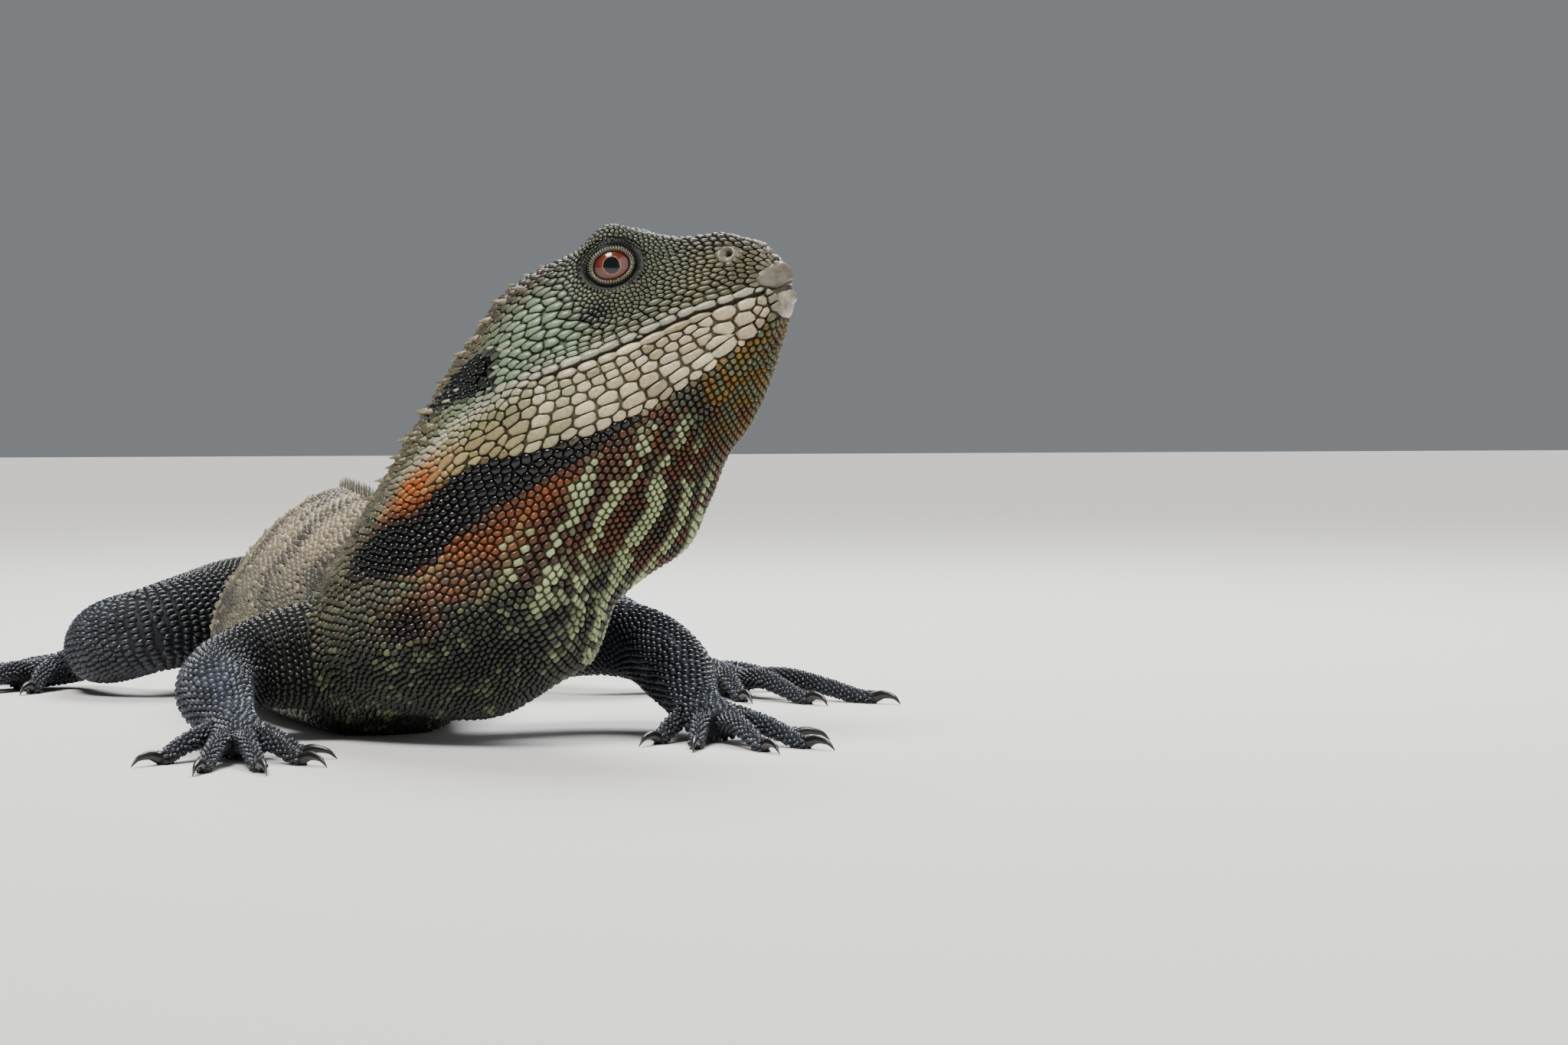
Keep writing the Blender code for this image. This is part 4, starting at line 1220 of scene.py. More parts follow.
@dataclass
class HeadFields:
    """Says how large and how raised the scales are at each place of head, throat and neck."""

    trunk: Trunk

    def coarse(self, t: Array) -> Array:
        """Says how much larger the scales of throat and neck are than at the chin."""
        return 1.0 + 0.2 * ramp(22.0, 46.0, np.asarray(t, float))

    def read(self, t: Array, v: Array) -> Dict[str, Array]:
        """Gives the scales' measures at each place.

        Args:
            t: distances behind the snout.
            v: turns round the section.

        Returns:
            Size, stretch, height, tilt and keel.
        """
        a, back = np.abs(v), self.trunk.back_of(t)
        _, high = self.trunk.outline(t, v)
        eye = from_eye(back, high)
        above = (a > 0.19) & (a < MOUTH)
        lore = bump_at(back, 19.0, 6.0) * ramp(3.0, 5.0, high)
        size = np.where(above, 1.18 - 0.34 * lore, 1.4)
        stretch = np.where(above, 2.0, 1.2)
        temple = ramp(32, 38, back) * (1 - ramp(54, 60, back)) * ramp(0.2, 0.25, a)
        temple = temple * (1 - ramp(0.42, 0.46, a))
        size = size + temple * (0.7 + 0.45 * blob(back, high, (42.0, 7.5), (6.0, 4.0)))
        jaw = ramp(0.44, 0.46, a) * (1 - ramp(0.66, 0.70, a)) * (1 - ramp(54, 62, back))
        throat = ramp(0.71, 0.74, a) * (1 - 0.999 * ramp(60, 61, t))
        neck = ramp(54, 62, t) * (1 - throat)
        close = 1 - ramp(7.0, 12.5, eye)
        under = a > 0.8
        throat_size = 1.3 * self.coarse(t) * (1 - 0.16 * under)
        neck_size = 1.42 + 0.3 * (1 - ramp(0.28, 0.36, a)) - 0.26 * under
        for share, own, long in ((jaw, 1.7, 1.4), (throat, throat_size, 1.1),
                                 (neck, neck_size, 1.35), (close, None, 1.15)):
            own = np.minimum(size, 0.8) if own is None else own
            size = size * (1 - share) + share * own
            stretch = stretch * (1 - share) + share * long
        height = 0.26 * size + 0.06 + 0.12 * throat + 0.1 * jaw
        top = a < 0.2
        tilt = 0.12 + 0.16 * throat + 0.22 * neck + 0.25 * top * ramp(30, 44, back) + 0.14 * temple
        keel = 0.08 * throat + 0.26 * neck + 0.16 * top
        return {"size": size, "stretch": stretch, "height": height,
                "tilt": tilt * (1 - 0.8 * jaw), "keel": keel * (1 - jaw)}


@dataclass
class HeadRoots:
    """Places the scales of head, throat and neck: named rows first, then a close filling.

    A row over the mouth holds its start and end behind the snout, lift over the mouth, width
    and length of its scales and their height. A row of the jaw holds start and end, its share
    of the way from the mouth to the throat in front and behind, length of its scales in front
    and behind, height and width as a share of that way.
    """

    trunk: Trunk
    fields: HeadFields
    eyes: Sequence[Eye]
    end: float = 92.0
    start: float = -1.05
    seed: int = 11
    ear: Tuple[float, float] = (1.5, 3.2)
    lips: Sequence[Tuple[float, ...]] = (
        (5.4, 46.0, 0.95, 1.6, 3.8, 0.55), (5.8, 47.5, 2.3, 1.05, 2.5, 0.4),
        (9.5, 48.5, 3.3, 0.95, 2.3, 0.36), (11.0, 49.5, 4.25, 1.0, 2.6, 0.36),
        (11.5, 22.0, 5.2, 1.0, 2.5, 0.36),
        *((10.5 + 0.4 * k, 22.0, 6.1 + 0.82 * k, 0.82, 1.45, 0.28) for k in range(8)),
    )
    jaws: Sequence[Tuple[float, ...]] = (
        (4.6, 46.5, 0.16, 0.075, 4.7, 3.6, 0.72, 0.15),
        (14.0, 50.0, 0.21, 0.21, 2.9, 2.5, 0.56, 0.12),
        (15.0, 54.0, 0.335, 0.335, 3.1, 2.9, 0.56, 0.125),
        (5.6, 60.0, 0.5, 0.47, 3.8, 3.4, 0.68, 0.14),
        (13.0, 66.0, 0.625, 0.625, 4.9, 4.1, 0.76, 0.17),
        (6.6, 68.0, 0.83, 0.795, 4.9, 4.3, 0.84, 0.17),
        (14.5, 66.0, 0.94, 0.94, 3.2, 3.1, 0.62, 0.125),
    )

    def rows(self) -> Array:
        """Lists the named scales of both sides.

        Returns:
            Rows of distance, turn, size, stretch and height.
        """
        rng = np.random.default_rng(self.seed)
        table: List[Tuple[float, ...]] = []
        for side in (RIGHT, LEFT):
            for row in self.lips:
                table += self.lip_row(rng, side, *row)
            for row in self.jaws:
                table += self.jaw_row(rng, side, *row)
        return np.array(table)

    def lip_row(
        self, rng: np.random.Generator, side: float, start: float, end: float, lift: float,
        wide: float, long: float, height: float,
    ) -> List[Tuple[float, ...]]:
        """Lays one row of scales along the upper lip or over the lore.

        Args:
            rng: the numbers that vary the row.
            side: right or left.
            start: where it begins behind the snout.
            end: where it ends.
            lift: how high over the mouth it runs.
            wide: width of its scales.
            long: their length.
            height: how high they stand.

        Returns:
            Rows of distance, turn, size, stretch and height.
        """
        found = []
        back = start + rng.uniform(0, long)
        while back < end:
            grow = rng.uniform(0.86, 1.14)
            t = np.array([back * math.cos(self.trunk.head_pitch)])
            high = self.trunk.outline(t, np.array([MOUTH]))[1] + lift
            a = float(self.trunk.turn_of_height(t, high + rng.uniform(-0.1, 0.1))[0])
            low = lift < 5 or ((back > 34 or from_eye(back, high[0]) >= 9.0) and a > 0.2)
            if low and (back < 22 or lift < 5.5):
                size = math.sqrt(wide * long * grow)
                found.append((float(t[0]), side * a, size, long * grow / wide, height))
            back += long * grow
        return found

    def jaw_row(
        self, rng: np.random.Generator, side: float, start: float, end: float, fore: float,
        hind: float, long: float, short: float, height: float, share: float,
    ) -> List[Tuple[float, ...]]:
        """Lays one row of the large scales between mouth and throat.

        Args:
            rng: the numbers that vary the row.
            side: right or left.
            start: where it begins behind the snout.
            end: where it ends.
            fore: its share of the way down in front.
            hind: its share of the way down behind.
            long: length of its scales in front.
            short: their length behind.
            height: how high they stand.
            share: their width, as a share of the way down.

        Returns:
            Rows of distance, turn, size, stretch and height.
        """
        found = []
        back = start + rng.uniform(0, long * 0.6)
        while back < end:
            along = min(max((back - 4.0) / 44.0, 0.0), 1.0)
            here = (long + (short - long) * along) * rng.uniform(0.86, 1.12)
            t = back * math.cos(self.trunk.head_pitch)
            top = MOUTH - 0.02 * max(along - 0.85, 0.0) / 0.15
            fine = np.linspace(top, float(read_rows(JAW_EDGE, np.array([t]))[0]), 25)
            _, arc = self.trunk.ring(t, fine)
            far = float(ramp(8.0, 17.0, np.array(back)))
            a = float(np.interp((fore + (hind - fore) * far) * arc[-1], arc, fine))
            a += rng.uniform(-0.0035, 0.0035)
            wide = arc[-1] * (0.33 + (share - 0.33) * far)
            size, stretch = math.sqrt(wide * here), max(here / wide, 1.0)
            found.append((t, side * a, size, stretch, height * (1 - 0.25 * along)))
            back += here
        return found

    def lattice(self) -> Tuple[Array, Array]:
        """Lays even staggered rows over the throat and the neck.

        Returns:
            Distances and turns.
        """
        rng = np.random.default_rng(self.seed + 2)
        fine = np.linspace(-1, 1, 361)
        first = -0.4
        zones = (0.6, 0.8, 1.0), (0.8, 1.01, 0.84)
        stops = [(first, *zone) for zone in zones]
        for low, high, grain in zones:
            t = first
            while t < self.end:
                t += 1.18 * self.fields.coarse(t) * grain
                stops.append((t, low, high, grain))
        ts, vs = [], []
        for k, (t, low, high, grain) in enumerate(stops):
            _, length = self.trunk.ring(t, fine)
            gap = 1.32 * self.fields.coarse(t) * grain
            at = np.arange(0.35 + 0.5 * gap * (k % 2), length[-1], gap)
            v = np.interp(at + rng.normal(0, 0.05, len(at)), length, fine)
            keep = (np.abs(v) > (max(low, 0.715) if t < 56 else low)) & (np.abs(v) <= high)
            ts.append(t + rng.normal(0, 0.05, keep.sum()))
            vs.append(v[keep])
        return np.concatenate(ts), np.concatenate(vs)

    def filling(self, rng: np.random.Generator) -> Tuple[Array, Array]:
        """Scatters many candidates over the whole head, closer where scales are small.

        Args:
            rng: the numbers that place them.

        Returns:
            Distances and turns, in random order.
        """
        tg, vg = np.arange(self.start, self.end, 0.7), np.linspace(-1, 1, 301)
        t0, v0 = (g.ravel() for g in np.meshgrid(tg[:-1], vg[:-1], indexing="ij"))
        dt, dv = tg[1] - tg[0], vg[1] - vg[0]
        a, b, c = (self.trunk.point(t0 + x, v0 + y) for x, y in ((0, 0), (dt, 0), (0, dv)))
        area = np.linalg.norm(np.cross(b - a, c - a), axis=1)
        size = self.fields.read(t0 + dt / 2, v0 + dv / 2)["size"]
        many = rng.poisson(np.minimum(area / size ** 2 * 7.0, 60))
        t = np.repeat(t0, many) + rng.random(many.sum()) * dt
        v = np.repeat(v0, many) + rng.random(many.sum()) * dv
        order = rng.permutation(np.flatnonzero(self.free(t, v)))
        return t[order], v[order]

    def build(self) -> Tuple[Array, Array, Dict[str, Array]]:
        """Fills head, throat and neck.

        Returns:
            Distances, turns and the measures of each scale.
        """
        rng = np.random.default_rng(self.seed + 1)
        named = self.rows()
        named = named[self.free(named[:, 0], named[:, 1])]
        loose = self.filling(rng)
        even = self.lattice()
        even = [x[self.free(*even)] for x in even]
        t, v = (np.concatenate([named[:, k], even[k], loose[k]]) for k in (0, 1))
        values = self.fields.read(t, v)
        count = len(named)
        for key, column in (("size", 2), ("stretch", 3), ("height", 4)):
            values[key][:count] = named[:, column]
        values["tilt"][:count] = 0.02
        values["keel"][:count] = 0.0
        chosen = self.thin(t, v, values, count)
        t, v = t[chosen], v[chosen]
        values = {k: x[chosen] for k, x in values.items()}
        for _ in range(4):
            t, v = self.relax(t, v, values, count)
        return t, v, values

    def free(self, t: Array, v: Array, grow: float = 1.0, lid_share: float = 0.97) -> Array:
        """Says which places lie clear of the eyes, the ears and the plates.

        Args:
            t: distances behind the snout.
            v: turns round the section.
            grow: how much larger than the ears their clear ground is.
            lid_share: how much of the lids must stay clear.

        Returns:
            Whether each place is clear.
        """
        p, back = self.trunk.point(t, v), self.trunk.back_of(t)
        out, high = self.trunk.outline(t, v)
        upper = (back < 6.2) & (high < 4.4 - 0.1 * out) & (high > -0.9) & (out < 6.4)
        lower = (back < 5.4) & (high <= -0.9) & (high > -6.7) & (out < 5.2)
        nose = np.hypot((back - NOSTRIL[0]) / 2.75, (high - NOSTRIL[1]) / 2.0) < 1.0
        off_ear = (back - EAR_MIDDLE[0]) / self.ear[0], (high - EAR_MIDDLE[1]) / self.ear[1]
        keep = ~(upper | lower | nose | ((np.hypot(*off_ear) < grow) & (np.abs(v) > 0.2)))
        for eye in self.eyes:
            keep &= eye.spread(p) > eye.reach * lid_share
        return keep

    def thin(self, t: Array, v: Array, values: Dict[str, Array], named: int) -> Array:
        """Keeps a close packing of places, the named ones first.

        Args:
            t: distances of all candidates.
            v: their turns.
            values: their sizes and stretches.
            named: how many come first and always stay.

        Returns:
            Indices of the places that stay.
        """
        p = self.trunk.point(t, v)
        out, lie = self.trunk.directions(t, v)
        aside = np.cross(out, lie)
        size, stretch = values["size"], values["stretch"]
        tree = tree_of(p)
        alive = np.ones(len(p), bool)
        chosen = []
        for k in range(len(p)):
            if not alive[k]:
                continue
            chosen.append(k)
            ease = math.sqrt(stretch[k])
            reach = 0.5 * (size[k] + 2.4) * ease if k < named else 0.82 * size[k] * ease * 1.25
            found = np.array([f[1] for f in tree.find_range(p[k], reach)])
            d = p[found] - p[k]
            x, y = d @ lie[k] / ease, d @ aside[k] * ease
            factor = 0.5 if k < named else 0.41
            close = np.hypot(x, y) < factor * (size[k] + size[found])
            close &= (found >= named) & (found != k)
            alive[found[close]] = False
        return np.array(chosen)

    def relax(
        self, t: Array, v: Array, values: Dict[str, Array], named: int,
    ) -> Tuple[Array, Array]:
        """Moves each free place to the middle of its cell.

        Args:
            t: distances behind the snout.
            v: turns round the section.
            values: sizes and stretches.
            named: how many come first and never move.

        Returns:
            The new distances and turns.
        """
        p = self.trunk.point(t, v)
        out, lie = self.trunk.directions(t, v)
        blanks = [np.zeros(len(t))] * 6
        seeds = Seeds(p, out, lie, values["size"], values["stretch"], *blanks)
        near, real = neighbours(p, 12)
        rows = np.arange(len(t))
        reach, angle = cell_reach(seeds, rows, near, real, 10)
        x, y = reach * np.cos(angle), reach * np.sin(angle)
        area = reach * np.roll(reach, -1, 1)
        mx, my = ((area * (q + np.roll(q, -1, 1))).sum(1) / (3 * area.sum(1)) for q in (x, y))
        ease = np.sqrt(values["stretch"])
        move = lie * (mx * ease)[:, None] + np.cross(out, lie) * (my / ease)[:, None]
        move = move * 0.8
        step_t = (self.trunk.point(t + 0.3, v) - self.trunk.point(t - 0.3, v)) / 0.6
        w = np.clip(v, -0.99, 0.99)
        step_v = (self.trunk.point(t, w + 0.01) - self.trunk.point(t, w - 0.01)) / 0.02
        tt, tv, vv = ((i * j).sum(1) for i, j in (
            (step_t, step_t), (step_t, step_v), (step_v, step_v)))
        mt, mv = (step_t * move).sum(1), (step_v * move).sum(1)
        base = np.maximum(tt * vv - tv * tv, 1e-6)
        dt, dv = (vv * mt - tv * mv) / base, (tt * mv - tv * mt) / base
        loose = rows >= named
        new_t = np.where(loose, t + np.clip(dt, -0.8, 0.8), t)
        new_v = unwind(np.where(loose, v + np.clip(dv, -0.02, 0.02), v))
        new_t = np.clip(new_t, self.start, self.end)
        good = self.free(new_t, new_v, 1.05, 0.98)
        return np.where(good, new_t, t), np.where(good, new_v, v)


@dataclass
class BodyRoots:
    """Places the scales of the body behind the neck, of the limbs and of the digits."""

    trunk: Trunk
    marks: Markings
    start: float = 92.0
    seed: int = 21
    sizes: Sequence[Tuple[float, float]] = (
        (90, 1.5), (110, 1.75), (230, 1.75), (270, 2.0), (420, 1.8), (620, 1.4), (790, 1.0),
    )
    overlap: float = 0.88
    unwrap_length: float = 110.0

    def values(self, t: Array, v: Array, rng: np.random.Generator) -> Dict[str, Array]:
        """Gives the scales' measures on torso and tail.

        Args:
            t: distances behind the snout.
            v: turns round the section.
            rng: the numbers that pick the knobs.

        Returns:
            Size, stretch, height, tilt and keel, and which scales are knobs.
        """
        a, tail = np.abs(v), self.tail_share(t)
        size, belly = read_rows(self.sizes, t), ramp(0.66, 0.8, a)
        knob = (rng.random(len(t)) < 0.05) & (a > 0.08) & (a < 0.6) & (t < 240)
        return {"size": size, "stretch": 1.15 + 0.6 * tail,
                "height": 0.24 * size * (1 - 0.4 * belly) + 0.4 * knob,
                "tilt": 0.16 + 0.08 * tail + 0.15 * knob,
                "keel": (0.2 + 0.12 * tail) * (1 - belly) + 0.3 * knob,
                "knob": knob.astype(float)}

    def tail_share(self, t: Array) -> Array:
        """Says how much each place belongs to the tail."""
        return ramp(232, 262, t)

    def trunk_places(self) -> Tuple[Array, Array, Dict[str, Array]]:
        """Lays staggered rings of scales from the neck to the tail's tip.

        Returns:
            Distances, turns and the scales' measures.
        """
        rng = np.random.default_rng(self.seed)
        fine = np.linspace(-1, 1, 241)
        ts, vs = [], []
        t, k = self.start, 0
        while t < self.trunk.tip - 1.5:
            size = float(read_rows(self.sizes, np.array([t]))[0])
            ease = math.sqrt(1.15 + 0.6 * float(self.tail_share(np.array([t]))[0]))
            _, length = self.trunk.ring(t, fine)
            count = max(int(round(length[-1] / (size / ease))), 5)
            at = (np.arange(count) + 0.5 * (k % 2) + 0.25) / count * length[-1]
            spread = 0.13 if t < 236 else 0.05
            vs.append(np.interp(at, length, fine) + rng.normal(0, spread * 2.0 / count, count))
            ts.append(t + rng.normal(0, spread * size, count))
            t += size * ease * self.overlap
            k += 1
        t, v = np.concatenate(ts), unwind(np.concatenate(vs))
        return t, v, self.values(t, v, rng)

    def tube_seeds(
        self, tube: Tube, size: float, fore: bool, first: float, band: float, whole: float,
        rng: np.random.Generator,
    ) -> Seeds:
        """Lays scales on a limb or a digit.

        Args:
            tube: the tube to cover.
            size: width of a scale at its root end.
            fore: whether it belongs to an arm.
            first: how far from its start the rows begin.
            band: place of its patch on the unwrap.
            whole: length of the whole limb for the colours, or 0 for a digit.
            rng: the numbers that vary the rows.

        Returns:
            The seeds.
        """
        ease = math.sqrt(1.2)
        lengths, angles, sizes = [], [], []
        length, k = first, 0
        while length < tube.lengths[-1] - 0.3:
            place = float(tube.place_at(np.array([length]))[0])
            wide = float(tube.read(np.array([place]))[0, 3:5].mean())
            here = size * (1.0 if wide > 3 else 0.86)
            count = max(int(round(TURN * wide / (here / ease))), 6)
            angles.append(ring_angles(count, 0.5 * (k % 2)) + rng.normal(0, 0.5 / count, count))
            lengths.append(length + rng.normal(0, 0.1 * here, count))
            sizes.append(np.full(count, here))
            length += here * ease * self.overlap
            k += 1
        ls, angle, size_of = (np.concatenate(x) for x in (lengths, angles, sizes))
        place = tube.place_at(ls)
        p = tube.point(place, angle)
        along, _, _ = tube.axes(place)
        out = unit(p - tube.read(place)[:, :3])
        lie = unit(along - out * (along * out).sum(1)[:, None])
        ones = np.ones(len(p))
        tint, gloss = self.marks.limb_colour(ls / whole if whole else ones, p, fore)
        round_share = (angle % TURN) / TURN
        spot = np.stack([ls / self.unwrap_length, round_share * 0.16 + band], -1)
        return Seeds(p, unit(out), lie, size_of, 1.35 * ones, 0.2 * size_of, 0.28 * ones,
                     0.24 * ones, tint, gloss, spot)


# ---------------------------------------------------------------- the skin under the scales
@dataclass
class Hide:
    """The one soft skin that every scale stands on."""

    trunk: Trunk
    limbs: Sequence[Limb]
    eyes: Sequence[Eye]
    origin: Array
    depth: float = SKIN_DEPTH
    voxel: float = 1.05
    mouth_width: float = 0.011
    mouth_depth: float = 1.1
    nostril_depth: float = 2.0
    ear_depth: float = 1.5
    socket_depth: float = 4.6
    toe_share: float = 0.86

    def grid(self, name: str, rows: Array) -> Piece:
        """Makes a tube with closed ends from rings of points.

        Args:
            name: the mesh's name.
            rows: the rings.

        Returns:
            The object.
        """
        rings, sides, _ = rows.shape
        verts = np.vstack([rows.reshape(-1, 3), rows[0].mean(0), rows[-1].mean(0)])
        s, last = np.arange(sides), (rings - 1) * sides
        start, end = np.full(sides, rings * sides), np.full(sides, rings * sides + 1)
        after = (s + 1) % sides
        fans = np.stack([s, start, after], -1), np.stack([last + s, last + after, end], -1)
        faces = np.vstack([strip_faces(rings, sides), *fans])
        return solid_mesh(name, verts + self.origin, faces, {}, closed=True)

    def build_head(self) -> Piece:
        """Builds the head's skin with mouth, nostrils, ears and eye sockets pressed in.

        Returns:
            The object, which the lids and plates are laid on.
        """
        nose = self.trunk.nose * np.cos(np.linspace(0.04, 1, 9) * math.pi / 2)
        t = np.concatenate([-nose, np.arange(0.4, NECK_SEAM + 2.5, 0.42)])
        v = np.linspace(-1, 1, 281)[:-1]
        tt, vv = (g.ravel() for g in np.meshgrid(t, v, indexing="ij"))
        p = self.trunk.point(tt, vv)
        out, _ = self.trunk.directions(tt, vv)
        back, a = self.trunk.back_of(tt), np.abs(vv)
        _, high = self.trunk.outline(tt, vv)
        mouth = bump_at(a, MOUTH, self.mouth_width) * (1 - ramp(45, 47, back))
        press = self.depth + self.mouth_depth * mouth
        pit = np.hypot((back - NOSTRIL[0]) / 1.0, (high - NOSTRIL[1]) / 0.85)
        press += self.nostril_depth * np.exp(-pit ** 4)
        ear = np.hypot((back - EAR_MIDDLE[0]) / 1.4, (high - EAR_MIDDLE[1]) / 3.0)
        press += self.ear_depth * (1 - ramp(0.75, 1.05, ear)) * (a > 0.2)
        for eye in self.eyes:
            press += self.socket_depth * (1 - ramp(1.05, 1.62, eye.spread(p)))
        p = p - out * press[:, None]
        p[:, 2] = np.maximum(p[:, 2], 0.05)
        return self.grid("skin_head", p.reshape(len(t), len(v), 3))

    def build_body(self) -> Piece:
        """Builds trunk and limbs, runs them into one another and softens the joins.

        Returns:
            The object.
        """
        tt, vv = self.net(np.arange(NECK_SEAM - 2.0, TIP_SEAM + 15.0, 1.0), 96)
        pieces = [self.grid("skin_trunk", self.trunk.point(tt, vv))]
        for limb in self.limbs:
            pieces.append(self.grid("skin_" + limb.name, limb.tube.rings(110, 40)[0]))
        body = self.join(pieces, "skin_body")
        body.data.remesh_voxel_size = self.voxel * MM
        bpy.context.view_layer.objects.active = body
        bpy.ops.object.voxel_remesh()
        spread = body.vertex_groups.new(name="join")
        co = read_vertices(body.data) / MM - self.origin
        weight = np.zeros(len(co))
        for limb in self.limbs:
            centre = limb.tube.read(np.array([1.3]))[0, :3]
            weight = np.maximum(weight, 1 - ramp(12, 24, np.linalg.norm(co - centre, axis=1)))
        for k in np.flatnonzero(weight > 0.02):
            spread.add([int(k)], float(weight[k]), "REPLACE")
        for name, group, rounds in (("soften", "", 3), ("soften_joins", "join", 24)):
            modifier = body.modifiers.new(name, "SMOOTH")
            modifier.factor, modifier.iterations, modifier.vertex_group = 0.5, rounds, group
            bpy.ops.object.modifier_apply(modifier=name)
        moved = read_vertices(body.data) - read_vertices(body.data, "normal") * self.depth * MM
        moved[:, 2] = np.maximum(moved[:, 2], 0.03 * MM + self.origin[2] * MM)
        body.data.vertices.foreach_set("co", moved.ravel())
        body.data.update()
        return body

    def build_ends(self) -> List[Piece]:
        """Builds the tail's tip and all digits, too thin for the run-together body.

        Returns:
            The objects.
        """
        t = np.append(np.arange(TIP_SEAM, self.trunk.tip - 0.4, 1.0), self.trunk.tip - 0.2)
        tt, vv = self.net(t, 40)
        centre, _, _ = self.trunk.axes(tt)
        p = self.trunk.point(tt, vv)
        thick = np.linalg.norm(p - centre, axis=-1, keepdims=True)
        shrink = np.maximum(1 - self.depth / np.maximum(thick, 0.5), 0.4)
        pieces = [self.grid("skin_tip", centre + (p - centre) * shrink)]
        for limb in self.limbs:
            for k, toe in enumerate(limb.toes):
                p, place, _ = toe.rings(40, 18)
                middle = toe.read(place)[..., :3]
                pieces.append(self.grid(f"skin_toe_{k}", middle + (p - middle) * self.toe_share))
        return pieces

    def net(self, t: Array, sides: int) -> List[Array]:
        """Gives distances and turns for rings round the trunk."""
        return np.meshgrid(t, np.linspace(-1, 1, sides + 1)[:-1], indexing="ij")

    def join(self, pieces: Sequence[Piece], name: str) -> Piece:
        """Joins pieces in one object.

        Args:
            pieces: the objects, of which the first stays.
            name: its new name.

        Returns:
            The object.
        """
        bpy.ops.object.select_all(action="DESELECT")
        for piece in pieces:
            piece.select_set(True)
        bpy.context.view_layer.objects.active = pieces[0]
        bpy.ops.object.join()
        pieces[0].name = pieces[0].data.name = name
        return pieces[0]


def settle(seeds: Seeds, tree: BVHTree, origin: Array, limit: float) -> Seeds:
    """Moves seeds onto a skin and turns them to its surface.

    Args:
        seeds: the seeds to move.
        tree: the skin's surface.
        origin: where the animal's own frame stands.
        limit: how far a seed may be from the skin before it is dropped.

    Returns:
        The seeds that stay.
    """
    keep = np.zeros(len(seeds.point), bool)
    for k, p in enumerate((seeds.point + origin) * MM):
        place, normal, _, distance = tree.find_nearest(Vector(p))
        if place is None or distance / MM > limit or normal.dot(Vector(seeds.out[k])) < 0.25:
            continue
        keep[k] = True
        normal = np.array(normal)
        seeds.out[k] = unit(0.65 * normal + 0.35 * seeds.out[k])
        seeds.point[k] = np.array(place) / MM - origin + normal * SKIN_DEPTH
    kept = seeds.pick(keep)
    kept.lie = unit(kept.lie - kept.out * (kept.lie * kept.out).sum(1)[:, None])
    return kept


# ---------------------------------------------------------------- lids, plates, spines, claws, eyes
@dataclass
class Sheet:
    """Collects small closed shapes and makes them one object."""

    name: str
    verts: List[Array] = field(default_factory=list)
    faces: List[Array] = field(default_factory=list)
    tints: List[Array] = field(default_factory=list)
    rims: List[Array] = field(default_factory=list)
    spots: List[Array] = field(default_factory=list)
    count: int = 0
    patch_size: float = 0.0015

    def add(
        self, verts: Array, faces: Array, tint: Array, rim: Array, spot: Sequence[float],
    ) -> None:
        """Adds one shape.

        Args:
            verts: its points.
            faces: its triangles.
            tint: one colour, or one for each point.
            rim: how near the rim each point is, from 0 to 1; the scales' finish paints shade at the
                rim.
            spot: its place on the unwrap.
        """
        self.verts.append(verts)
        self.faces.append(faces + self.count)
        self.tints.append(np.broadcast_to(tint, verts.shape))
        self.rims.append(np.broadcast_to(rim, len(verts)))
        around = verts - verts.mean(0)
        flat = around[:, :2] / max(np.abs(around).max(), 1e-6) * self.patch_size
        self.spots.append(np.asarray(spot) + flat)
        self.count += len(verts)

    def build(self, origin: Array) -> Piece:
        """Makes the object.

        Args:
            origin: where the animal's own frame stands.

        Returns:
            The object.
        """
        verts = np.vstack(self.verts)
        verts[:, 2] = np.maximum(verts[:, 2], 0.03)
        marks = {"tint": np.vstack(self.tints), "rim": np.concatenate(self.rims),
                 "gloss": np.full(len(verts), 0.5)}
        faces, spots = np.vstack(self.faces), np.vstack(self.spots)
        return solid_mesh(self.name, verts + origin, faces, marks, spots)


@dataclass(frozen=True)
class Plate:
    """One large smooth scale that wraps over the head.

    Attributes:
        name: what it covers.
        place: distance behind the snout, outward and upward of its middle.
        aim: which way it faces in the head's frame, as back, out and up.
        half: half its width and half its height.
        height: how far it stands over the skin.
        square: how square its outline is; 2 is an ellipse.
        pale: how much paler it is than the others.
        hole: radius of an opening in it, or 0.
    """

    name: str
    place: Tuple[float, float, float]
    aim: Tuple[float, float, float]
    half: Tuple[float, float]
    height: float
    square: float
    pale: float = 1.0
    hole: float = 0.0


PLATES = (
    Plate("rostral", (0.4, 0.0, 1.75), (-1.0, 0.0, 0.1), (6.5, 2.5), 0.9, 2.6),
    Plate("mental", (0.9, 0.0, -3.7), (-0.95, 0.0, -0.3), (5.2, 2.8), 0.9, 2.4, 1.7),
    Plate("nasal", (7.0, 6.0, 8.3), (-0.12, 0.85, 0.5), (2.75, 1.95), 0.62, 2.2, hole=0.75),
)


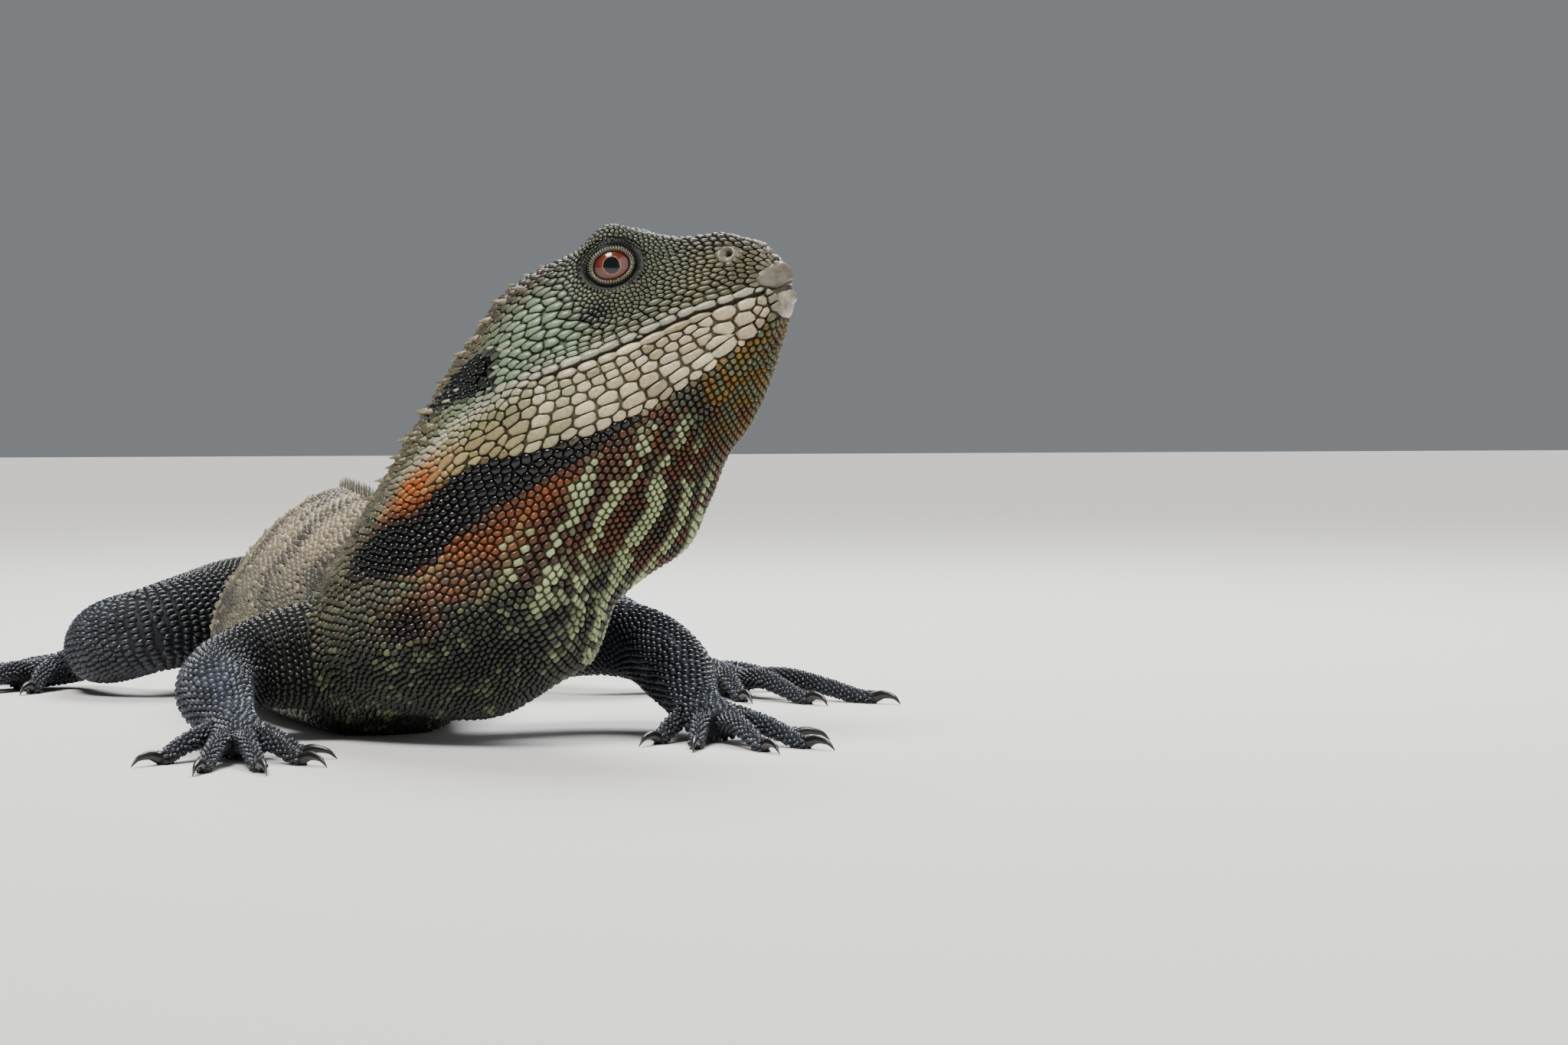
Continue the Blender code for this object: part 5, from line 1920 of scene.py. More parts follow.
@dataclass
class HeadPlates:
    """Lays the plates of the snout on the head's skin."""

    trunk: Trunk
    tree: BVHTree
    origin: Array
    palette: Palette
    sides: int = 40
    shares: Sequence[float] = (1.0, 0.97, 0.9, 0.8, 0.68, 0.55, 0.42, 0.3, 0.18, 0.08, 0.0)
    core: Tuple[float, float, float] = (7.0, 0.0, -0.5)
    dome: float = 3.2
    rim_sunk: float = 0.6

    def lay(self, plate: Plate, side: float, sheet: Sheet, spot: Sequence[float]) -> None:
        """Projects one plate on the head and adds it to a sheet.

        Args:
            plate: the plate.
            side: right or left.
            sheet: what it is added to.
            spot: its place on the unwrap.
        """
        _, left, up = self.trunk.axes_at(plate.place[0])
        behind = np.cross(up, left)
        behind = behind if behind[1] > 0 else -behind
        aim = unit(behind * plate.aim[0] + left * side * plate.aim[1] + up * plate.aim[2])
        faces_ahead = abs(plate.aim[1]) < 0.3
        across = unit(np.cross(aim, up) if faces_ahead else behind - aim * (behind @ aim))
        tall = np.cross(aim, across)
        centre = self.trunk.head_point(*plate.place, side)
        core = self.trunk.head_point(*self.core, side)
        angle = ring_angles(self.sides)
        c, s = np.cos(angle), np.sin(angle)
        reach = (np.abs(c) ** plate.square + np.abs(s) ** plate.square) ** (-1 / plate.square)
        rows = []
        for share in self.shares:
            x, y = plate.half[0] * reach * share * c, plate.half[1] * reach * share * s
            rise = plate.height * (1 - share ** self.dome) - self.rim_sunk * (share == 1.0)
            ring = centre + across * x[:, None] + tall * y[:, None]
            for k, q in enumerate(ring if share else ring[:1]):
                hit = self.hit(q, aim)
                if plate.hole:
                    depth = float((hit - q) @ aim)
                    lift = rise + self.rim_of_hole(plate, math.hypot(x[k], y[k] * 1.15))
                    rows.append(q + aim * min(max(depth, -0.6), 0.8) + aim * lift + aim * 0.1)
                else:
                    rows.append(hit + unit(hit - core) * (rise + 0.2))
        verts = np.array(rows)
        tint = self.palette.plate * (0.62 + 0.76 * noise(verts, 1.3, 9))[:, None] * plate.pale
        if plate.hole:
            r = np.hypot((verts - centre) @ across, (verts - centre) @ tall * 1.15)
            # Painted shade: the plate's opening is painted near black for the shade inside the
            # nostril.
            dark = 1 - ramp(plate.hole * 0.75, plate.hole, r)
            tint = mix(tint, self.palette.nostril, dark)
        # The rim value drives the painted shade that darkens the plate towards its edge.
        rim = np.append(np.repeat(np.array(self.shares[:-1]) ** 3, self.sides), 0.0)
        sheet.add(verts, disc_faces(len(self.shares) - 1, self.sides), tint, rim, spot)

    def hit(self, q: Array, aim: Array) -> Array:
        """Finds where a point falls on the head's skin.

        Args:
            q: the point.
            aim: the way the plate faces.

        Returns:
            The place on the skin.
        """
        place = self.tree.ray_cast(Vector((q + aim * 8 + self.origin) * MM), Vector(-aim))[0]
        if place is None:
            place = self.tree.find_nearest(Vector((q + self.origin) * MM))[0]
        return np.array(place) / MM - self.origin

    def rim_of_hole(self, plate: Plate, r: float) -> float:
        """Gives the swelling round a plate's opening and the drop inside it."""
        swell = 0.25 * math.exp(-((r - plate.hole * 1.35) / 0.35) ** 2)
        return swell - 1.5 * (1 - float(ramp(plate.hole * 0.72, plate.hole * 1.05, np.array(r))))


@dataclass
class Lids:
    """The skin of both lids of one eye, with its rolled edge and its rings of granules.

    A ring of granules is a share of the opening and the size of its scales.
    """

    eye: Eye
    tree: BVHTree
    origin: Array
    palette: Palette
    sides: int = 128
    over_ball: float = 0.45
    roll: float = 0.34
    thick: float = 0.9
    rings: Sequence[Tuple[float, float]] = (
        (1.12, 0.5), (1.25, 0.56), (1.39, 0.6), (1.54, 0.66), (1.7, 0.7),
    )

    def surface(self, rho: Array, angle: Array) -> Array:
        """Gives points of the lids.

        Args:
            rho: shares of the opening's ellipse.
            angle: angles round it.

        Returns:
            The points.
        """
        eye = self.eye
        wide, tall = eye.opening
        x, y = wide * rho * np.cos(angle), tall * rho * np.sin(angle)
        r = np.hypot(x, y)
        inner = np.sqrt(np.maximum(eye.radius ** 2 - r ** 2, 0.2)) + self.over_ball
        inner = inner + self.roll * bump_at(rho, 1.09, 0.09)
        flat = eye.centre + eye.behind * x[..., None] + eye.stand * y[..., None]
        outer = np.array([self.depth(q) for q in flat.reshape(-1, 3)]).reshape(rho.shape)
        share = ramp(1.1, 1.7, rho)
        high = inner * (1 - share) + (outer + 0.2) * share - 0.45 * ramp(1.6, 1.78, rho)
        high = np.where(rho < 1.0, inner - 5.0 * (1.0 - rho), high)
        return flat + eye.look * high[..., None]

    def depth(self, q: Array) -> float:
        """Finds how high the head lies over the eye's plane.

        Args:
            q: a point of that plane.

        Returns:
            The height, or 2 where there is no skin over it.
        """
        start = Vector((q + self.eye.look * 16 + self.origin) * MM)
        place = self.tree.ray_cast(start, Vector(-self.eye.look))[0]
        if place is None:
            return 2.0
        return float((np.array(place) / MM - self.origin - q) @ self.eye.look)

    def build(self) -> Piece:
        """Makes the lids' skin as a closed sheet with a hidden back.

        Returns:
            The object.
        """
        rho = np.concatenate([np.linspace(0.88, 1.25, 16), np.linspace(1.29, 1.79, 14)])
        rr, aa = np.meshgrid(rho, ring_angles(self.sides), indexing="ij")
        front = self.surface(rr, aa)
        rows = np.concatenate([front, front[::-1][[0, -1]] - self.eye.look * self.thick])
        p = rows.reshape(-1, 3)
        faces = strip_faces(len(rows) + 1, self.sides) % len(p)
        spread = np.concatenate([rr.ravel(), np.full(2 * self.sides, 2.1)])
        edge = bump_at(spread, 1.04, 0.05) * (0.5 + 0.5 * noise(p, 0.7, 4))
        # Painted shade: the lid's skin is darker than its granules, and near black where it tucks
        # in against the ball.
        tint = mix(self.palette.eye_ring * 0.7, self.palette.lid_edge, edge)
        tint = mix(tint, self.palette.lid_inside, 1 - ramp(0.97, 1.0, spread))
        marks = {"tint": tint, "rim": np.zeros(len(p)), "gloss": np.full(len(p), 0.5)}
        name = f"lids_{self.eye.name}"
        return solid_mesh(name, p + self.origin, faces, marks, closed=True)

    def granules(self, rng: np.random.Generator) -> Seeds:
        """Lays the rings of small round scales on the lids.

        Args:
            rng: the numbers that vary the rings.

        Returns:
            The seeds.
        """
        rhos, angles, sizes = [], [], []
        for k, (share, width) in enumerate(self.rings):
            count = int(math.pi * share * sum(self.eye.opening) / width * 1.06)
            shift = rng.normal(0, 0.12 / count, count)
            angles.append(ring_angles(count, 0.5 * (k % 2)) + shift)
            rhos.append(share + rng.normal(0, 0.008, count))
            sizes.append(np.full(count, width * 1.12))
        rho, angle, size = (np.concatenate(x) for x in (rhos, angles, sizes))
        p = self.surface(rho, angle)
        along = unit(self.surface(rho + 0.04, angle) - self.surface(rho - 0.04, angle))
        around = unit(self.surface(rho, angle + 0.03) - self.surface(rho, angle - 0.03))
        out = unit(np.cross(along, around))
        out[(out @ self.eye.look) < 0] *= -1
        grain = ramp(0.3, 0.6, noise(p, 1.6, 8)) * (0.15 + 0.85 * ramp(1.3, 1.62, rho))
        tint = mix(self.palette.eye_ring, self.palette.granule, grain)
        tint = mix(tint, self.palette.lid_edge, (1 - ramp(1.12, 1.2, rho)) * 0.5)
        ones = np.ones(len(p))
        spot = np.stack([p[:, 1] * 0.5 + 60.0, p[:, 2] * 0.02 - 1.5], -1)
        return Seeds(p, out, unit(around), size, ones, 0.24 * ones, 0 * ones, 0 * ones, tint,
                     0.5 * ones, spot)


@dataclass
class Spines:
    """Standing spines of the crest, the nape and the temple.

    The crest's rows are distance and height, and its spines have a foot along and across and
    a step to the next. A row of the nape is turn, start, end and height, and a lone spine is
    distance, turn and height. A cone's rows are share of the height, thickness and drop.
    """

    trunk: Trunk
    palette: Palette
    seed: int = 31
    sides: int = 6
    crest: Sequence[Tuple[float, float]] = (
        (44, 1.5), (60, 2.6), (76, 3.4), (84, 4.4), (92, 3.7), (120, 2.9), (235, 2.4),
        (330, 2.1), (620, 1.0), (760, 0.6),
    )
    nape: Sequence[Tuple[float, ...]] = (
        (0.1, 40, 92, 1.4), (0.19, 44, 92, 1.8), (0.27, 64, 90, 2.0), (0.35, 67, 86, 1.3),
    )
    lone: Sequence[Tuple[float, float, float]] = (
        (49.8, 0.312, 1.1), (51.2, 0.342, 1.0), (51.6, 0.29, 1.2), (60.5, 0.315, 1.3),
        (63.5, 0.335, 1.1), (64.5, 0.365, 1.2), (66.5, 0.31, 1.4), (68.5, 0.345, 1.0),
        (47.5, 0.325, 0.8), (58.8, 0.31, 0.9),
    )
    crest_span: Tuple[float, float] = (45.0, 752.0)
    neck_end: float = 100.0
    neck_crest: Tuple[float, float, float] = (1.3, 0.6, 2.7)
    back_crest: Tuple[float, float, float] = (1.1, 0.42, 2.4)
    cone_rows: Sequence[Tuple[float, float, float]] = (
        (0.0, 1.0, -0.7), (0.12, 0.92, 0.0), (0.5, 0.6, 0.0), (0.85, 0.24, 0.0),
    )

    def cone(
        self, sheet: Sheet, t: float, v: float, height: float, foot: Sequence[float],
        lean: float, tint: Array,
    ) -> None:
        """Adds one spine that leans towards the tail.

        Args:
            sheet: what it is added to.
            t: distance behind the snout.
            v: turn round the section.
            height: how high it stands.
            foot: half its foot along the body and across.
            lean: how far its tip lies behind its foot.
            tint: its colour.
        """
        place = np.array([t]), np.array([v])
        p = self.trunk.point(*place)[0]
        out, lie = (d[0] for d in self.trunk.directions(*place))
        aside = np.cross(out, lie)
        angle = ring_angles(self.sides)
        rows, rims = [], []
        for share, thick, sunk in self.cone_rows:
            centre = p + out * (height * share + sunk) + lie * (lean * share ** 1.6)
            ring = lie * (foot[0] * thick * np.cos(angle))[:, None]
            rows.append(centre + (ring + aside * (foot[1] * thick * np.sin(angle))[:, None]))
            rims.append(np.full(self.sides, 1.0 - share))
        rows.append((p + out * height + lie * lean)[None])
        # The rim value darkens the spine's foot slightly, painted shade where it meets the skin.
        rim = 0.8 * np.append(np.concatenate(rims), 0.0)
        spot = 0.02 + 0.96 * t / 800, 0.5 + 0.48 * v
        sheet.add(np.vstack(rows), disc_faces(len(self.cone_rows), self.sides), tint, rim, spot)

    def build(self, origin: Array) -> Piece:
        """Builds every spine.

        Args:
            origin: where the animal's own frame stands.

        Returns:
            One object.
        """
        rng = np.random.default_rng(self.seed)
        sheet, c = Sheet("spines"), self.palette
        t, stop = self.crest_span
        while t < stop:
            height = float(read_rows(self.crest, np.array([t]))[0]) * rng.uniform(0.88, 1.1)
            if t < self.neck_end:
                tint, crest = mix(c.nape, c.spine, rng.uniform(0.1, 0.6)), self.neck_crest
            else:
                tint, crest = c.flank * rng.uniform(0.8, 1.2), self.back_crest
            *foot, step = crest
            self.cone(sheet, t, rng.normal(0, 0.002), height, foot, 0.55 * height + 0.4, tint)
            t += step * rng.uniform(0.92, 1.08)
        for side in (RIGHT, LEFT):
            for turn, t, end, tall in self.nape:
                while t < end:
                    height = tall * rng.uniform(0.75, 1.35)
                    tint = mix(c.nape, c.spine, rng.uniform(0.15, 0.85))
                    v = side * (turn + rng.normal(0, 0.008))
                    self.cone(sheet, t, v, height, (0.95, 0.7), 0.8 * height, tint)
                    t += rng.uniform(2.6, 4.2)
            for t, turn, height in self.lone:
                tint = mix(c.temple, c.spine, rng.uniform(0.5, 0.9))
                self.cone(sheet, t, side * turn, height, (0.7, 0.62), 0.6 * height, tint)
        return sheet.build(origin)


@dataclass
class Claws:
    """The claws of one foot."""

    limb: Limb
    palette: Palette
    sides: int = 20
    rings: int = 30

    def build(self, origin: Array) -> Piece:
        """Builds five claws.

        Args:
            origin: where the animal's own frame stands.

        Returns:
            One object.
        """
        sheet, c = Sheet(f"claws_{self.limb.foot}"), self.palette
        for claw in self.limb.claws:
            p, place, angle = claw.rings(self.rings, self.sides)
            verts = np.vstack([p.reshape(-1, 3), claw.read(np.array([claw.last]))[0, :3]])
            share = np.append((place / claw.last).ravel(), 1.0)
            under = np.append((np.sin(angle) < -0.3).ravel().astype(float), 0.0)
            tint = mix(c.claw, c.claw_tip, ramp(0.55, 1.0, share))
            tint = mix(tint, c.claw_sole, under * 0.6 * (1 - ramp(0.7, 1, share)))
            faces = disc_faces(self.rings, self.sides)[:, ::-1]
            sheet.add(verts, faces, tint, np.zeros(len(verts)), (0.5, 0.5))
        return sheet.build(origin)


@dataclass
class Eyeball:
    """A glossy ball whose colour runs out from the pupil."""

    eye: Eye
    bulge: float = 0.05

    def build(self, origin: Array) -> None:
        """Builds the ball with its pole where the eye looks.

        Args:
            origin: where the animal's own frame stands.
        """
        eye = self.eye
        bpy.ops.object.select_all(action="DESELECT")
        bpy.ops.mesh.primitive_uv_sphere_add(segments=96, ring_count=72, radius=eye.radius * MM)
        ball = bpy.context.active_object
        ball.name = ball.data.name = eye.name
        co = read_vertices(ball.data) / MM
        from_pole = np.degrees(np.arccos(np.clip(co[:, 2] / eye.radius, -1, 1)))
        grow = 1.0 + self.bulge * (1 - ramp(10, 44, from_pole))
        stand = np.cross(eye.look, eye.behind)
        turned = co[:, :1] * eye.behind + co[:, 1:2] * stand + co[:, 2:] * eye.look
        turned = (turned * grow[:, None] + eye.centre + origin) * MM
        ball.data.vertices.foreach_set("co", turned.ravel())
        mark(ball.data, "from_pole", from_pole / 90.0)
        ball.data.polygons.foreach_set("use_smooth", np.ones(len(ball.data.polygons), bool))
        ball.data.update()


# ---------------------------------------------------------------- finishes
class Look(Enum):
    """The ways a surface of the animal can look."""

    SCALE = "scale"
    SKIN = "skin"
    CLAW = "claw"
    EYE = "eye"


@dataclass(frozen=True)
class Finish:
    """A procedural material.

    Attributes:
        name: its name.
        look: how its colour is worked out.
        rough: its roughness before gloss is taken off.
        coat: weight of the clear layer.
        bump: strength of its fine relief.
        grain: grains of the relief for each metre.
        shade_range: how far the grain darkens and lightens the colour.
        gloss_share: what full gloss adds to the roughness.
        iris: places from the pole outwards, and the colours there.
    """

    name: str
    look: Look
    rough: float
    coat: float
    bump: float
    grain: float
    shade_range: Tuple[float, float] = (0.78, 1.2)
    gloss_share: float = -0.22
    iris: Sequence[Tuple[float, Tuple[int, int, int]]] = (
        (0.0, (5, 5, 8)), (0.196, (5, 5, 8)), (0.208, (150, 116, 84)), (0.222, (96, 44, 28)),
        (0.31, (84, 32, 20)), (0.40, (66, 24, 16)), (0.47, (36, 16, 12)), (0.53, (12, 8, 8)),
        (1.0, (10, 8, 8)),
    )

    def build(self) -> bpy.types.Material:
        """Makes the material's nodes.

        Returns:
            The material.
        """
        material = bpy.data.materials.new(self.name)
        material.use_nodes = True
        nodes, links = material.node_tree.nodes, material.node_tree.links
        shader = nodes["Principled BSDF"]
        self.fill(shader, (("Coat Weight", self.coat), ("Coat Roughness", 0.12),
                           ("Specular IOR Level", 0.4)))
        grain = nodes.new("ShaderNodeTexNoise")
        self.fill(grain, (("Scale", self.grain), ("Detail", 3.0)))
        place = nodes.new("ShaderNodeTexCoord")
        links.new(place.outputs["Object"], grain.inputs["Vector"])
        if self.look is Look.EYE:
            self.paint_eye(nodes, links, shader, grain.outputs["Fac"])
            return material
        shade = nodes.new("ShaderNodeMapRange")
        low, high = self.shade_range
        self.fill(shade, (("To Min", low), ("To Max", high), ("From Min", 0.3), ("From Max", 0.7)))
        links.new(grain.outputs["Fac"], shade.inputs["Value"])
        factor = shade.outputs["Result"]
        if self.look is Look.SCALE:
            # Painted shade: the colour falls towards the rim of each scale, plate and spine, where
            # it dips between its neighbours; the middle stays bright.
            edge = nodes.new("ShaderNodeMapRange")
            edge.interpolation_type = "SMOOTHSTEP"
            self.fill(edge, (("From Min", 0.78), ("From Max", 1.0), ("To Min", 1.0),
                             ("To Max", 0.2)))
            links.new(self.read(nodes, "rim").outputs["Fac"], edge.inputs["Value"])
            factor = self.maths(nodes, links, "MULTIPLY", (factor, edge.outputs["Result"]))
        colour = nodes.new("ShaderNodeVectorMath")
        colour.operation = "SCALE"
        links.new(self.read(nodes, "tint").outputs["Color"], colour.inputs[0])
        links.new(factor, colour.inputs["Scale"])
        links.new(colour.outputs["Vector"], shader.inputs["Base Color"])
        gloss = self.read(nodes, "gloss").outputs["Fac"]
        rough = self.maths(nodes, links, "MULTIPLY_ADD", (gloss, self.gloss_share, self.rough))
        links.new(rough, shader.inputs["Roughness"])
        relief = nodes.new("ShaderNodeBump")
        self.fill(relief, (("Strength", self.bump), ("Distance", 0.00012)))
        links.new(grain.outputs["Fac"], relief.inputs["Height"])
        links.new(relief.outputs["Normal"], shader.inputs["Normal"])
        return material

    def fill(self, node: bpy.types.Node, values: Sequence[Tuple[str, float]]) -> None:
        """Sets inputs of a node by their names."""
        for key, value in values:
            node.inputs[key].default_value = value

    def read(self, nodes: bpy.types.Nodes, name: str) -> bpy.types.Node:
        """Adds a node that reads one of the mesh's attributes.

        Args:
            nodes: the material's nodes.
            name: the attribute's name.

        Returns:
            The node.
        """
        node = nodes.new("ShaderNodeAttribute")
        node.attribute_name = name
        return node

    def maths(
        self, nodes: bpy.types.Nodes, links: bpy.types.NodeLinks, operation: str,
        inputs: Sequence[object],
    ) -> bpy.types.NodeSocket:
        """Adds a node that works out one number.

        Args:
            nodes: the material's nodes.
            links: its links.
            operation: what the node does.
            inputs: sockets to link or numbers to set, in order.

        Returns:
            Its output.
        """
        node = nodes.new("ShaderNodeMath")
        node.operation = operation
        for k, value in enumerate(inputs):
            if isinstance(value, float):
                node.inputs[k].default_value = value
            else:
                links.new(value, node.inputs[k])
        return node.outputs["Value"]

    def paint_eye(
        self, nodes: bpy.types.Nodes, links: bpy.types.NodeLinks, shader: bpy.types.Node,
        grain: bpy.types.NodeSocket,
    ) -> None:
        """Colours the ball from the pupil outwards.

        Args:
            nodes: the material's nodes.
            links: its links.
            shader: its shader node.
            grain: the noise that unsettles the iris.
        """
        pole = self.read(nodes, "from_pole").outputs["Fac"]
        stir = self.maths(nodes, links, "MULTIPLY_ADD", (grain, 0.05, pole))
        colours = nodes.new("ShaderNodeValToRGB")
        stops = colours.color_ramp.elements
        stops.remove(stops[1])
        for k, (at, rgb) in enumerate(self.iris):
            stop = stops.new(at) if k else stops[0]
            stop.color = (*paint(*rgb), 1.0)
        links.new(stir, colours.inputs["Fac"])
        links.new(colours.outputs["Color"], shader.inputs["Base Color"])
        self.fill(shader, (("Roughness", self.rough), ("Coat Weight", self.coat),
                           ("Coat Roughness", 0.02)))


@dataclass(frozen=True)
class FloorFinish:
    """The pale matt floor."""

    name: str = "pale_floor"
    colour: Tuple[float, float, float, float] = (0.62, 0.61, 0.59, 1.0)
    rough: float = 0.85

    def build(self) -> bpy.types.Material:
        """Makes the floor's material.

        Returns:
            The material.
        """
        material = bpy.data.materials.new(self.name)
        material.use_nodes = True
        shader = material.node_tree.nodes["Principled BSDF"]
        shader.inputs["Base Color"].default_value = self.colour
        shader.inputs["Roughness"].default_value = self.rough
        return material


SCALE_FINISH = Finish("scale_horn", Look.SCALE, 0.46, 0.12, 0.35, 1500.0)
SKIN_FINISH = Finish("skin_between", Look.SKIN, 0.7, 0.0, 0.3, 2500.0)
CLAW_FINISH = Finish("claw_horn", Look.CLAW, 0.45, 0.12, 0.15, 900.0)
EYE_FINISH = Finish("eye_wet", Look.EYE, 0.12, 0.5, 0.0, 1400.0)


# ---------------------------------------------------------------- the dressed animal
ARM_RIGHT = (
    (5, -9, 18, 10, 10), (14, -8.5, 17.2, 10.4, 10.6), (22.5, -8, 16.2, 9.6, 9.8),
    (30.5, -9, 14.8, 7.6, 8.2), (36.5, -14.5, 13, 7, 7.4), (39.2, -23.5, 10.6, 7.2, 7.2),
    (38.8, -35, 6.8, 4.9, 4.4), (38.8, -42.5, 4.6, 5.4, 3.4), (40.3, -49.5, 3.4, 5.6, 2.8),
)
ARM_LEFT = (
    (6, -8, 19, 9, 9), (19, -8, 19, 9.4, 10), (33, -5, 19.5, 8.8, 9), (45, -4, 19, 7.6, 7.8),
    (53.3, -9.5, 17, 7.3, 7.3), (56.2, -20, 12.3, 7.1, 7), (56, -31, 7.2, 5.1, 4.7),
    (56.5, -38, 4.8, 5.8, 3.7), (58, -45, 3.6, 5.8, 3),
)
LEG_RIGHT = (
    (4, 3, 17.5, 11, 11), (14, -1, 18, 12.6, 12.6), (23.5, -14, 18.4, 12.2, 12.2),
    (32, -26.5, 17.6, 10.4, 10.4), (42, -32.5, 15.2, 9.4, 9.4), (52.5, -27, 11.9, 9.0, 9.0),
    (58.5, -13, 8, 5.4, 5.2), (63, -7, 5.4, 5.2, 3.8), (70, -8.5, 4, 6.0, 3.2),
    (77, -13, 3.2, 5.8, 2.6),
)
LEG_LEFT = (
    (4, 3, 18, 11, 11), (15, 0, 19, 12.8, 12.8), (28, -14, 21, 12.4, 12.4),
    (41, -26, 21.5, 10.4, 10.4), (52, -33, 19, 9.2, 9.2), (64, -33, 13.6, 8.4, 8.4),
    (75, -28, 8, 5.4, 5.2), (81, -29, 5.4, 5.2, 3.8), (87, -35, 4, 6, 3.2),
    (92, -42, 3.2, 5.8, 2.6),
)
HAND = (
    (0.25, -0.7, -58, 12), (0.6, -0.55, -32, 17), (0.9, -0.1, -4, 21), (0.8, 0.35, 19, 22),
    (0.35, 0.7, 50, 16),
)
FOOT = (
    (0.35, -0.7, -50, 12), (0.65, -0.5, -24, 18), (0.9, -0.15, -5, 27), (0.8, 0.35, 12, 38),
    (0.1, 0.6, 58, 24),
)
Coat = Tuple[str, str, ScaleCut]


@dataclass
class Dragon:
    """The whole dressed animal.

    Attributes:
        trunk: its body.
        palette: its colours.
        shoulder: where the arms join, behind the snout.
        hip: where the legs join.
        ear_ring: middle behind the snout, half width, middle upwards and half height of the
            ring that keeps scales off an ear.
        ghost_size: size of the places that keep scales off mouth and ears.
        crowd: how near another group's scale may stand, as a share of the size.
        skin_shade: how bright the skin is beside the scales over it, a painted shade for the gaps
            between scales and the mouth line.
        trunk_limit: how far the trunk's scales may lie from the skin.
        limb_limit: how far those of the limbs may.
        limb_scale: width of a limb's scales.
        toe_scale: width of a digit's scales.
        ranks: the groups of scales, the one that stays first.
    """

    trunk: Trunk = field(default_factory=Trunk)
    palette: Palette = field(default_factory=Palette)
    shoulder: float = 94.0
    hip: float = 222.0
    ear_ring: Tuple[float, float, float, float] = (56.3, 1.75, 0.6, 3.35)
    ghost_size: float = 0.45
    crowd: float = 0.62
    skin_shade: float = 0.32
    trunk_limit: float = 1.6
    limb_limit: float = 1.3
    limb_scale: float = 1.55
    toe_scale: float = 1.25
    ranks: Sequence[str] = ("ghost", "head", "neck", "trunk", "tip")

    def __post_init__(self) -> None:
        """Sets out eyes and limbs and finds the frame that the CAD stands in."""
        self.marks = Markings(self.trunk, self.palette)
        self.eyes = [Eye("eye_of_right", RIGHT), Eye("eye_of_left", LEFT)]
        for eye in self.eyes:
            eye.build_axes(self.trunk)
        box = np.array(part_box("eye_right"), float).reshape(2, 3)
        self.origin = box.mean(0) / MM - self.eyes[0].centre
        arm, leg = (HAND, 1.9, 6.6), (FOOT, 2.1, 6.2)
        self.limbs = [
            Limb("arm_right", "hand_right", RIGHT, self.shoulder, ARM_RIGHT, *arm),
            Limb("arm_left", "hand_left", LEFT, self.shoulder, ARM_LEFT, *arm),
            Limb("leg_right", "foot_right", RIGHT, self.hip, LEG_RIGHT, *leg),
            Limb("leg_left", "foot_left", LEFT, self.hip, LEG_LEFT, *leg),
        ]
        for limb in self.limbs:
            limb.build_lines(self.trunk)
        LOG.info("own frame stands at %s mm", np.round(self.origin, 2))

    def dress(self) -> None:
        """Builds every piece, finishes it and ties it to the CAD."""
        horn, soft, claw_horn, wet = (
            f.build() for f in (SCALE_FINISH, SKIN_FINISH, CLAW_FINISH, EYE_FINISH))
        hide = Hide(self.trunk, self.limbs, self.eyes, self.origin)
        head = hide.build_head()
        head_tree = surface_of(head)
        body = hide.build_body()
        body_tree = surface_of(body)
        LOG.info("skin of the body has %d faces", len(body.data.polygons))
        skin = hide.join([head, body] + hide.build_ends(), "skin")
        lids = [Lids(eye, head_tree, self.origin, self.palette) for eye in self.eyes]
        seeds, groups = self.roots(lids, body_tree)
        near, real = neighbours(seeds.point, 20)
        self.tint_skin(skin, seeds)
        for (name, slot, cut), rows in groups.items():
            ScaleCoat(name, cut).build(seeds, near, real, rows, self.origin)
            self.place(name, slot, horn)
        self.place("skin", "torso_skin", soft)
        flesh = ["head", "neck", "torso"] + [f"tail_{k}" for k in range(1, 5)]
        for side in ("right", "left"):
            parts = ("upper_arm", "forearm", "hand", "thigh", "shank", "foot")
            flesh += [f"{part}_{side}" for part in parts]
        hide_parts(*flesh)
        for eye, lid in zip(self.eyes, lids):
            Eyeball(eye).build(self.origin)
            self.place(eye.name, "eye", wet)
            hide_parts(eye.name.replace("_of_", "_"))
            self.place(lid.build().name, "head_skin", soft)
        self.build_plates(head_tree)
        self.place("plates", "head_skin", horn)
        Spines(self.trunk, self.palette).build(self.origin)
        self.place("spines", "torso_skin", horn)
        for limb in self.limbs:
            claws = Claws(limb, self.palette).build(self.origin)
            self.place(claws.name, "claw", claw_horn)
            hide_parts(*[f"claw_{limb.foot}_{k}" for k in range(1, 6)])

    def build_plates(self, head_tree: BVHTree) -> None:
        """Builds the plates of the snout, those on the middle line once.

        Args:
            head_tree: the head's skin.
        """
        sheet = Sheet("plates")
        plates = HeadPlates(self.trunk, head_tree, self.origin, self.palette)
        for k, plate in enumerate(PLATES):
            for side in (RIGHT, LEFT) if plate.place[1] else (LEFT,):
                plates.lay(plate, side, sheet, (0.2 + 0.2 * k, 0.5 + 0.2 * side))
        sheet.build(self.origin)

    def place(self, name: str, slot: str, material: bpy.types.Material) -> None:
        """Gives a piece its material and its body.

        Args:
            name: the piece's name.
            slot: the CAD's slot for its material; not used.
            material: its finish.
        """
        piece = bpy.data.objects[name]
        piece.data.materials.clear()
        piece.data.materials.append(material)
        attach(piece, "root")
        LOG.info("%s: %d faces", name, len(piece.data.polygons))

